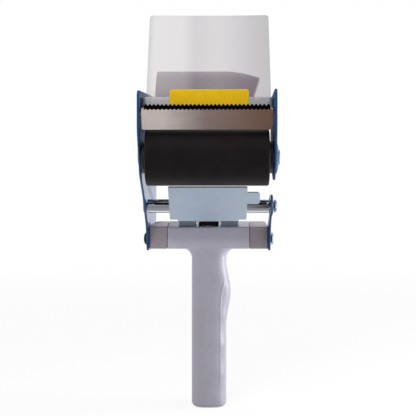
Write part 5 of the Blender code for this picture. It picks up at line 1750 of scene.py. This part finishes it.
@dataclass
class Handle:
    """Grip lofted into a cross head with pockets, and the head's two end caps."""

    half_width: float = 12.3 * MM
    half_depth: float = 15 * MM
    corner_power: float = 3.4
    end_round: float = 3.4 * MM
    neck_round: float = 7 * MM
    edge_round: float = 1.6 * MM
    swell: float = 3.2 * MM
    swell_height: float = 82.2 * MM
    swell_span: float = 24 * MM
    fuller: float = 0.6 * MM
    proud: float = 0.04 * MM
    scallop: float = 0.55 * MM
    ridge_reach: float = 8.6 * MM
    ridge_half: float = 0.5 * MM
    ridge_rise: float = 0.4 * MM
    ridge_sweep: float = 4.6 * MM
    finger_pitch: float = 21 * MM
    fingers: int = 4
    block_half: float = 29.25 * MM
    pocket_inner: float = 8.6 * MM
    pocket_outer: float = 21.6 * MM
    pocket_length: float = 11 * MM
    pocket_depth: float = 8 * MM
    slot_half: float = 7.2 * MM
    back_depth: float = 4.6 * MM
    back_length: float = 11.5 * MM
    cap_corner_left: float = 6 * MM
    cap_corner_right: float = 2.4 * MM
    head_rim: float = 0.5 * MM
    head_pitch: Pair = (4 * MM, 4 * MM)
    cap_pitch: Pair = (3 * MM, 3 * MM)
    trim_room: float = 5 * MM
    trim_depth: float = 3 * MM
    pocket_corner: float = 0.6 * MM
    pocket_lap: float = 1 * MM
    pocket_rise: float = 3 * MM
    grip_rings: int = 110
    grip_sides: int = 120
    bolt: float = 2.5 * MM
    bolt_chamfer: float = 0.4 * MM
    bolt_rise: float = 3.1 * MM
    socket_mouth: float = 1.9 * MM
    socket: tuple[Pair, Pair] = ((2 * MM, 0), (1.8 * MM, 1.5 * MM))
    socket_edge: float = 1.55 * MM
    nut_wall: float = 0.7 * MM

    def grip_points(self) -> Array:
        """Sections of the grip: squared ellipses with a swell, finger hollows and a flared neck.

        Returns:
            Rings of points, from the grip's end into the head.
        """
        low_angle = np.linspace(0, math.pi / 2, 10)
        low = self.end_round * (1 - np.cos(low_angle))
        neck = HEAD_BOTTOM - self.neck_round + self.neck_round * np.sin(low_angle)
        middle = np.linspace(low[-1], neck[0], self.grip_rings)[1:-1]
        height = np.concatenate((low, middle, neck, [HEAD_BOTTOM + self.edge_round * 2]))[:, None]
        angle = np.linspace(0, TURN, self.grip_sides, endpoint=False)[None, :]
        at_end = np.clip(self.end_round - height, 0, None)
        round_in = self.end_round - np.sqrt(np.clip(self.end_round ** 2 - at_end ** 2, 0, None))
        from_head = np.clip(HEAD_BOTTOM - height, 0, None)
        in_neck = np.clip(self.neck_round - from_head, 0, None)
        flare = self.neck_round - np.sqrt(np.clip(self.neck_round ** 2 - in_neck ** 2, 0, None))
        flare = np.where(from_head < self.neck_round, flare, 0)
        ease = np.clip(from_head / self.neck_round, 0, 1)
        head_half = self.proud - HEAD_FRONT
        half_x = self.half_width - round_in + flare
        half_y = head_half + (self.half_depth - head_half) * ease - round_in
        cosine, sine = np.cos(angle), np.sin(angle)
        power = 2 / self.corner_power
        x = half_x * np.sign(cosine) * np.abs(cosine) ** power
        y = half_y * np.sign(sine) * np.abs(sine) ** power
        share = (height - self.swell_height) / self.swell_span
        swell = np.where(np.abs(share) < 1, self.swell * np.cos(share * math.pi / 2) ** 2, 0)
        start = (self.swell_height - self.fingers * self.finger_pitch) / 2 + self.end_round
        reach = (height - start) / self.finger_pitch
        inside = (reach > 0) & (reach < self.fingers)
        hollow = np.where(inside, self.scallop * np.abs(np.sin(reach * math.pi)) ** 1.3, 0)
        corner = np.clip(cosine, 0, None) * np.clip(-sine, 0, None) * 2
        x = x + (swell + self.fuller) * np.clip(cosine, 0, None) - hollow * corner
        above = np.clip((height - self.swell_height + self.finger_pitch / 2) / self.swell_span, 0, 1)
        ridge = self.ridge_reach + self.ridge_sweep * above ** 2
        line = np.exp(-((x - ridge) / self.ridge_half) ** 2) * (sine < 0)
        ends = np.clip(height / self.finger_pitch, 0, 1) * np.clip((1 - above) * 3, 0, 1)
        y = y + hollow * corner - self.ridge_rise * line * ends
        return np.stack((x, y, np.broadcast_to(height, x.shape)), -1)

    def head_outline(self) -> Array:
        """Section of the cross head in (Y, Z), its top sloped up towards the rear.

        Returns:
            The closed outline.
        """
        top = HEAD_FRONT_TOP
        return rounded([
            (HEAD_FRONT, HEAD_BOTTOM, self.edge_round), (HEAD_REAR, HEAD_BOTTOM, self.edge_round),
            (HEAD_REAR, top + HEAD_SLOPE_RISE, self.edge_round * 2),
            (HEAD_FRONT, top, self.edge_round),
        ], 10)

    def pocket(self, name: str, start: float, end: float, back: float = 0) -> Piece:
        """Helper block that cuts a pocket with rounded corners into the head's top.

        Args:
            name: Name of the block.
            start: Its lowest X.
            end: Its highest X.
            back: Length of a shallower cut behind the pockets, or 0 for a pocket.

        Returns:
            The block.
        """
        pin_y, _ = PIN_AXIS
        front, rear = pin_y - self.pocket_length / 2, pin_y + self.pocket_length / 2
        depth = self.pocket_depth
        if back:
            front, rear, depth = rear - self.pocket_lap, rear + back, self.back_depth
        ease = self.pocket_corner
        outline = rounded(box_corners(start, end, front, rear, ease, ease), CORNER_STEPS // 2)
        levels = (HEAD_FRONT_TOP - depth, HEAD_REAR_TOP + self.pocket_rise)
        rings = [np.column_stack((outline, np.full(len(outline), level))) for level in levels]
        shell = Shell()
        shell.grid(np.stack(rings), wrap_columns=True, caps=True)
        return shell.build(name)

    def moulding(self) -> Piece:
        """Grip and head joined, with two pockets for the keeper's arms and a slot for its spring.

        Returns:
            The piece.
        """
        shell = Shell()
        shell.grid(self.grip_points(), wrap_columns=True, caps=True)
        grip = shell.build("grip_loft")
        head = Blank(self.head_outline(), on_side, -self.block_half, self.block_half,
                     rim=self.head_rim, pitch=self.head_pitch).build("handle_moulding")
        slot = (-self.slot_half, self.slot_half)
        blocks = (
            ("left_pocket", -self.pocket_outer, -self.pocket_inner),
            ("spring_slot", *slot),
            ("right_pocket", self.pocket_inner, self.pocket_outer),
            ("slot_back", *slot, self.back_length),
        )
        cuts = [(Cut.REMOVE, self.pocket(*block)) for block in blocks]
        return carved(head, [(Cut.JOIN, grip), *cuts])

    def cap(self, side: Side) -> Piece:
        """End cap: the head's section with its top outer corner rounded off.

        Args:
            side: The side that it is on.

        Returns:
            The piece.
        """
        low, high = span_of("end_cap_" + side.word())
        body = Blank(self.head_outline(), on_side, low, high, rim=self.head_rim,
                     pitch=self.cap_pitch).build("head_end_" + side.word())
        if side is Side.LEFT:
            seam, end, corner = high, low, self.cap_corner_left
        else:
            seam, end, corner = low, high, self.cap_corner_right
        inward, below = seam - side.value * self.trim_room, HEAD_BOTTOM - self.trim_room
        outline = rounded([(inward, below, 0), (end, below, 0), (end, HEAD_REAR_TOP, corner),
                           (inward, HEAD_REAR_TOP, 0)], 14)
        trim = Blank(outline, on_front, HEAD_FRONT - self.trim_depth, HEAD_REAR + self.trim_depth,
                     rim=0.3 * MM, pitch=(6 * MM, 6 * MM)).build("trim_" + side.word())
        return carved(body, [(Cut.KEEP, trim)])

    def build(self) -> None:
        """Make and dress the handle, caps, tie bolt and its nut."""
        install(self.moulding(), "frame", GREY, "handle")
        for side in Side:
            install(self.cap(side), "frame", CAPS, "end_cap_" + side.word())
        install(self.tie_bolt(), "frame", OXIDE, "tie_bolt")
        nut = dome_nut("tie_dome_nut", "tie_cap_nut", self.bolt, self.nut_wall)
        install(nut, "frame", PAD_ZINC, "tie_cap_nut")

    def tie_bolt(self) -> Piece:
        """Bolt with a domed head that has a round socket.

        Returns:
            The piece.
        """
        low, high = span_of("tie_bolt")
        rise, radius, chamfer = self.bolt_rise, self.bolt, self.bolt_chamfer
        dome = domed(low + rise, radius_of("tie_bolt"), -rise)[::-1]
        keep = dome[dome[:, 1] > self.socket_mouth]
        socket = [*((low + depth, reach) for depth, reach in self.socket),
                  (keep[0, 0], self.socket_edge)]
        bar = [(low + rise, radius), (high - chamfer, radius), (high, radius - chamfer), (high, 0)]
        return turned("tie_bar", np.vstack((socket, keep, bar)), TIE_AXIS, steps=SMALL_STEPS)


def carved(piece: Piece, helpers: Sequence[tuple[Cut, Piece]]) -> Piece:
    """Join, cut or intersect a piece with helpers, and keep the result as its mesh.

    Args:
        piece: The piece to work on.
        helpers: (cut, helper) pairs, done in order; each helper is then deleted.

    Returns:
        The piece.
    """
    for cut, helper in helpers:
        modifier = piece.modifiers.new(helper.name, "BOOLEAN")
        modifier.operation, modifier.solver, modifier.object = cut.value, "EXACT", helper
    bpy.context.view_layer.update()
    evaluated = piece.evaluated_get(bpy.context.evaluated_depsgraph_get())
    mesh = bpy.data.meshes.new_from_object(evaluated)
    piece.modifiers.clear()
    piece.data = mesh
    for _, helper in helpers:
        bpy.data.objects.remove(helper)
    smoothed(mesh, False)
    return piece


# Roll hub and brake

@dataclass
class RollHub:
    """Ribbed drum that carries the tape's core, and the friction brake on its bolt."""

    radius: float = 37.4 * MM
    wall: float = 2.4 * MM
    ease: float = 0.25 * MM
    lead_length: float = 26 * MM
    lead_drop: float = 4.6 * MM
    notch: float = 5.6 * MM
    ribs: int = 3
    rib_bearing: float = math.radians(85)
    rib_width: float = 6 * MM
    rib_rise: float = 0.65 * MM
    ear_width: float = 13 * MM
    ear_radius: float = 41 * MM
    ear_thickness: float = 2.6 * MM
    ear_seat: float = 0.6 * MM
    web: Pair = (-28.85 * MM, -25.85 * MM)
    boss_radius: float = 9 * MM
    boss: Pair = (-33.7 * MM, -21 * MM)
    bolt: float = 4 * MM
    wire: float = 1 * MM
    coil: float = 7.4 * MM
    turns: float = 4.5
    knob_lobes: int = 8
    lobe_depth: float = 2 * MM
    collar: float = 9 * MM
    collar_length: float = 14 * MM
    flats: float = 13 * MM
    cone: float = 0.8 * MM
    rib_slope: float = 0.8 * MM
    rib_fade: float = 2 * MM
    edge: float = 0.6 * MM
    web_round: float = 1.5 * MM
    bore_ease: float = 0.2 * MM
    lead_steps: int = 22
    wall_pitch: float = 1.5 * MM
    ear_corner: float = 1.6 * MM
    ear_pitch: Pair = (2 * MM, 2 * MM)
    lobe_fade: float = 3 * MM
    lobe_room: float = 1 * MM
    drum_steps: int = 240
    knob_steps: int = 192
    steps_per_turn: int = 32
    leg_rings: int = 5
    leg_share: float = 0.7
    end_chamfer: float = 0.6 * MM
    head_chamfer: Pair = (0.2 * MM, 0.4 * MM)

    def stations(self) -> Pair:
        """The drum wall's left end and the start of its lead-in, along X."""
        low, high = span_of("hub_drum")
        return low + self.ear_thickness - self.ear_seat, high - self.lead_length

    def drum_shape(self, station: Array, radius: Array, angle: Array) -> tuple[Array, Array]:
        """Slope the free end in flats and raise the ribs.

        The free end drops by the notch depth times (1 - cos a) over (1 - cos 60), where a is the
        angle from the nearest point, and a rib is a raised band within its half width.

        Args:
            station: Places along X.
            radius: Radii.
            angle: Angles.

        Returns:
            The new stations and radii.
        """
        start, lead = self.stations()
        lobe = TURN / self.ribs
        from_top = math.pi / 2 - angle
        from_point = np.abs(np.mod(from_top + lobe / 2, lobe) - lobe / 2)
        depth = (1 - np.cos(from_point)) / (1 - math.cos(lobe / 2))
        share = np.clip((station - lead) / self.lead_length, 0, 1)
        bearing = math.pi / 2 + self.rib_bearing
        from_rib = np.abs(np.mod(angle - bearing + lobe / 2, lobe) - lobe / 2) * self.radius
        band = np.clip((self.rib_width / 2 - from_rib) / self.rib_slope + 0.5, 0, 1)
        along = np.clip((station - start - self.ease * 3) / self.rib_fade, 0, 1)
        along = along * np.clip((lead - station) / self.rib_fade, 0, 1)
        outside = radius > self.radius - self.wall / 2
        raised = radius + self.rib_rise * band * along * outside
        return station - self.notch * depth * share, raised

    def drum(self) -> Piece:
        """Drum turned from one closed profile, with three stop ears at its left end.

        Returns:
            The piece.
        """
        start, lead = self.stations()
        cup, bore = self.radius - self.wall, self.bolt + GAP
        share = np.linspace(1, 0, self.lead_steps)
        drop = self.lead_drop * (1 - np.cos(share * math.pi / 2))
        station = lead + self.lead_length * share
        (web_left, web_right), (boss_left, boss_right) = self.web, self.boss
        boss, ease, web_round = self.boss_radius, self.edge, self.web_round
        body = rounded([
            (start, self.radius - self.ease, ease), (start, cup, ease), (web_left, cup, web_round),
            (web_left, boss, web_round), (boss_left, boss, ease), (boss_left, bore, self.bore_ease),
            (boss_right, bore, self.bore_ease), (boss_right, boss, ease),
            (web_right, boss, web_round), (web_right, cup, web_round), (lead, cup, 0),
            (lead, self.radius, 0), (start + self.ease * 2, self.radius, self.ease),
        ], 6)
        cut = int(np.argmax(body[:, 0] >= lead - MERGE))
        outer = np.stack((station, self.radius - drop), 1)
        inner = np.stack((station, cup - drop), 1)[::-1]
        wall = resampled(np.array([(lead, self.radius), (start + self.ease * 3, self.radius)]),
                         self.wall_pitch, closed=False)[1:-1]
        points = np.vstack((body[:cut], inner[1:], outer, wall, body[cut + 2:]))
        shell = Shell()
        turned("", points, HUB_AXIS, True, self.drum_steps, self.drum_shape, shell)
        for index in range(self.ribs):
            self.ear(shell, index)
        return shell.build("roll_drum")

    def ear(self, shell: Shell, index: int) -> None:
        """Add one stop ear, a rounded tab that stands out radially at the left end.

        Args:
            shell: The drum's shell.
            index: The ear's number, from 0.
        """
        angle = math.pi / 2 + self.rib_bearing + index * TURN / self.ribs
        half = self.ear_width / 2
        low = self.radius - self.wall * 3 / 4
        tab = rounded([(low, -half, 0), (self.ear_radius, -half, self.ear_corner),
                       (self.ear_radius, half, self.ear_corner), (low, half, 0)])
        turn = np.array(((math.cos(angle), math.sin(angle)), (-math.sin(angle), math.cos(angle))))
        start = span_of("hub_drum")[0]
        Blank(tab @ turn + np.array(HUB_AXIS), on_side, start, start + self.ear_thickness,
              pitch=self.ear_pitch).into(shell)

    def knob_shape(self, station: Array, radius: Array, angle: Array) -> tuple[Array, Array]:
        """Hollow the knob between its lobes by the squared sine of half the lobe angle.

        Args:
            station: Places along X.
            radius: Radii.
            angle: Angles.

        Returns:
            The stations as they are, and the new radii.
        """
        start = span_of("brake_knob")[0] + self.collar_length
        lobes = np.sin(angle * self.knob_lobes / 2) ** 2
        outside = (radius > self.collar + self.lobe_room) & (station > start - self.lobe_room)
        share = np.clip((radius - self.collar) / self.lobe_fade, 0, 1)
        return station, radius - self.lobe_depth * lobes * outside * share

    def knob(self) -> Piece:
        """Lobed knob with a collar, a dished end and a blind bore.

        Returns:
            The piece.
        """
        low, high = span_of("brake_knob")
        radius, bore = radius_of("brake_knob"), self.bolt + GAP
        grip = low + self.collar_length
        points = profile(
            (high - 1.2 * MM, 0, 0), (high - 1.2 * MM, radius - 5.5 * MM, 1 * MM),
            (high, radius - 4.2 * MM, 1 * MM), (high, radius, 1.6 * MM),
            (grip, radius, 1.4 * MM), (grip, self.collar, 1 * MM), (low, self.collar, 0.6 * MM),
            (low, bore, 0.2 * MM), (high - 2.4 * MM, bore, 0), (high - 2.4 * MM, 0, 0),
        )
        points = resampled(points, self.wall_pitch, closed=False)
        return turned("lobed_knob", points, HUB_AXIS, False, self.knob_steps, self.knob_shape)

    def spring(self) -> Piece:
        """Brake spring: a helix whose ends run straight along the bolt.

        Returns:
            The piece.
        """
        low, high = span_of("brake_spring")
        share = np.linspace(0, 1, round(self.turns * self.steps_per_turn))
        angle = share * self.turns * TURN
        station = low + 2 * self.wire + share * (high - low - 4 * self.wire)
        out = np.stack((0 * angle, np.cos(angle), np.sin(angle)), 1)
        axis = np.array((0, *HUB_AXIS))
        coil = axis + out * self.coil
        coil[:, 0] = station
        rings = self.leg_rings
        lead = np.linspace(0, self.leg_share, rings)[:, None]
        first = coil[0] + (np.array((low, *coil[0, 1:])) - coil[0]) * (1 - lead)
        last = coil[-1] + (np.array((high, *coil[-1, 1:])) - coil[-1]) * (1 - lead[::-1])
        path = np.vstack((first, coil, last))
        guide = np.vstack((np.tile(out[0], (rings, 1)), out, np.tile(out[-1], (rings, 1))))
        return tube("brake_coil", path, guide, self.wire)

    def bolt_bar(self) -> Piece:
        """Bolt with a chamfered hexagon head outside the plate.

        Returns:
            The piece.
        """
        low, high = span_of("hub_bolt")
        head = -OUTER_SIDE - GAP
        side, cone, chamfer = self.flats / 2, self.cone, self.end_chamfer
        rise, inset = self.head_chamfer
        points = np.array([
            (low, 0), (low, side - inset), (low + rise, side), (low + cone, side + cone),
            (head, side + cone * 2), (head, self.bolt), (high - chamfer, self.bolt),
            (high, self.bolt - chamfer), (high, 0),
        ])
        return turned("hub_axle_bolt", points, HUB_AXIS, shape=hexagon(self.flats))

    def lock_nut(self) -> Piece:
        """Chamfered nut inside the plate.

        Returns:
            The piece.
        """
        low, high = span_of("hub_lock_nut")
        side, cone = self.flats / 2, self.cone
        points = np.array([
            (low, self.bolt + GAP), (low, side), (low + cone, side + cone), (high - cone, side + cone),
            (high, side), (high, self.bolt + GAP),
        ])
        return turned("hub_clamp_nut", points, HUB_AXIS, True, shape=hexagon(self.flats))

    def build(self) -> None:
        """Make and dress the hub's pieces."""
        install(self.drum(), "hub", DRUM, "hub_drum")
        install(self.knob(), "knob", BLACK, "brake_knob")
        install(self.spring(), "frame", STEEL, "brake_spring")
        install(self.bolt_bar(), "frame", ZINC, "hub_bolt")
        install(self.lock_nut(), "frame", ZINC, "hub_lock_nut")
        bore = self.bolt + GAP
        fit_ring("hub_distance_ring", "hub_spacer", bore, "frame", BLACK)
        fit_ring("brake_disc", "friction_disc", bore, "frame", FIBRE)
        fit_ring("brake_washer", "pressure_washer", bore, "frame", ZINC)
        fit_ring("spring_seat", "spring_washer", bore, "brake_adjuster", ZINC)


# Studio

@dataclass(frozen=True)
class Card:
    """Card that only reflections show; half of its width and of its length are vectors."""

    name: str
    middle: Corner
    across: Corner
    along: Corner
    glow: float


@dataclass(frozen=True)
class Lamp:
    """Soft square lamp; reflections show it only where it shines."""

    name: str
    spot: Corner
    power: float
    size: float
    shines: bool = False


CARDS = (
    Card("room_card", (0, -1.2, -0.67), (1.5, 0, 0), (0, 0, 1.1), 0.33),
    Card("window_card", (0, -1.2, 1.2), (1.5, 0, 0), (0, 0, 0.77), 0.62),
    Card("ceiling_card", (0, 0.02, 1.3), (1.2, 0, 0), (0, 0.48, 0), 0.02),
    Card("ground_card", (0, -0.36, -0.4), (1.2, 0, 0), (0, 0.31, 0), 0.4),
    Card("door_card", (0.32, -1.15, -0.1), (0.24, 0, 0), (0, 0, 0.95), 0.1),
)
LAMPS = (
    Lamp("key", (-0.35, -1.05, 0.98), 10.0, 0.6),
    Lamp("fill", (0.9, 0.05, 0.2), 7.0, 0.5),
    Lamp("edge", (0.36, 0.02, 0.12), 0.7, 0.2, shines=True),
)


@dataclass
class Studio:
    """Pale floor, white surround, soft lamps and the camera at the photograph's angle."""

    camera_spot: Corner = (0.0075, -0.639, 0.143)
    yaw: float = math.radians(0.72)
    lens: float = 75.72
    near_clip: float = 0.01
    floor_half: float = 1.6
    floor_colour: Colour = (0.86, 0.86, 0.86)
    floor_glow: float = 0.86
    fade_start: float = 0.35
    fade_share: float = 0.9
    sky: float = 0.59
    aim: Corner = (0, -0.03, 0.15)

    def camera(self) -> None:
        """Level camera at the height of the guide rod."""
        data = bpy.data.cameras.new("view")
        data.lens = self.lens
        data.clip_start = self.near_clip
        camera = linked("view", data)
        camera.location = self.camera_spot
        camera.rotation_euler = (math.pi / 2, 0, self.yaw)
        bpy.context.scene.camera = camera

    def seen(self, tree: bpy.types.NodeTree) -> Socket:
        """1 for camera, glossy and transmission rays, and 0 for the rest.

        Args:
            tree: The node tree.

        Returns:
            The value.
        """
        path = tree.nodes.new("ShaderNodeLightPath")
        total = path.outputs["Is Camera Ray"]
        for name in ("Is Glossy Ray", "Is Transmission Ray"):
            node = tree.nodes.new("ShaderNodeMath")
            node.operation = "MAXIMUM"
            tree.links.new(total, node.inputs[0])
            tree.links.new(path.outputs[name], node.inputs[1])
            total = node.outputs[0]
        return total

    def world(self) -> None:
        """White surround that lights the object more gently than it looks."""
        world = bpy.data.worlds.new("surround")
        bpy.context.scene.world = world
        world.use_nodes = True
        tree = world.node_tree
        back = tree.nodes["Background"]
        back.inputs["Color"].default_value = full(WHITE)
        reach = tree.nodes.new("ShaderNodeMapRange")
        reach.inputs["To Min"].default_value = self.sky
        tree.links.new(self.seen(tree), reach.inputs["Value"])
        tree.links.new(reach.outputs[0], back.inputs["Strength"])

    def floor(self) -> None:
        """Pale floor that looks white, keeps a soft shadow and fades out at its rim."""
        mesh = bpy.data.meshes.new("floor")
        half = self.floor_half
        mesh.from_pydata([(-half, -half, 0), (half, -half, 0), (half, half, 0), (-half, half, 0)],
                         [], [(0, 1, 2, 3)])
        floor = linked("floor", mesh)
        graph = Graph("pale_floor")
        tree = graph.tree
        graph.dress(Base_Color=full(self.floor_colour), Roughness=0.9, Specular_IOR_Level=0.1)
        glow = graph.add("ShaderNodeEmission", {"Color": full(WHITE), "Strength": 1.0}).outputs[0]
        lit = graph.span(self.seen(tree), 0, self.floor_glow)
        shown = graph.add("ShaderNodeMixShader", {0: lit, 1: graph.shader.outputs[0], 2: glow})
        away = graph.add("ShaderNodeVectorMath", {0: graph.spot()}, operation="LENGTH").outputs["Value"]
        fade = graph.span(away, 0, 1, self.fade_start, half * self.fade_share)
        clear = graph.add("ShaderNodeBsdfTransparent", {}).outputs[0]
        blend = graph.add("ShaderNodeMixShader", {0: fade, 1: shown.outputs[0], 2: clear})
        tree.links.new(blend.outputs[0], tree.nodes["Material Output"].inputs[0])
        mesh.materials.append(graph.material)
        floor.visible_glossy = False

    def show_card(self, card: Card) -> None:
        """Make a card.

        Args:
            card: The card.
        """
        sides, ends = np.array((-1, 1, 1, -1))[:, None], np.array((-1, -1, 1, 1))[:, None]
        spots = np.array(card.middle) + sides * np.array(card.across) + ends * np.array(card.along)
        mesh = bpy.data.meshes.new(card.name)
        mesh.from_pydata(spots.tolist(), [], [(0, 1, 2, 3)])
        piece = linked(card.name, mesh)
        graph = Graph(card.name + "_glow")
        shine = graph.add("ShaderNodeEmission", {"Color": full(WHITE), "Strength": card.glow})
        graph.tree.links.new(shine.outputs[0], graph.tree.nodes["Material Output"].inputs[0])
        mesh.materials.append(graph.material)
        piece.visible_camera = piece.visible_diffuse = piece.visible_shadow = False
        piece.visible_transmission = False

    def light(self, lamp: Lamp) -> None:
        """Make a lamp aimed at the object.

        Args:
            lamp: The lamp.
        """
        data = bpy.data.lights.new(lamp.name, "AREA")
        data.energy, data.size = lamp.power, lamp.size
        piece = linked(lamp.name, data)
        piece.location = lamp.spot
        towards = Vector(self.aim) - Vector(lamp.spot)
        piece.rotation_euler = towards.to_track_quat("-Z", "Y").to_euler()
        piece.visible_glossy = lamp.shines

    def build(self) -> None:
        """Set up camera, surround, floor, cards and lamps."""
        bpy.context.scene.view_settings.view_transform = "Standard"
        self.camera()
        self.world()
        self.floor()
        for card in CARDS:
            self.show_card(card)
        for lamp in LAMPS:
            self.light(lamp)
        LOG.info("studio ready")


def main() -> None:
    """Build the studio and every sub-assembly."""
    logging.basicConfig(level=logging.INFO, format="%(name)s: %(message)s")
    dress_nodes()
    for assembly in (Studio(), SideFrames(), Cutter(), Flap(), Roller(), GuideRod(), Keeper(),
                     Handle(), RollHub()):
        LOG.info("building %s", type(assembly).__name__)
        assembly.build()


if __name__ == "__main__":
    main()
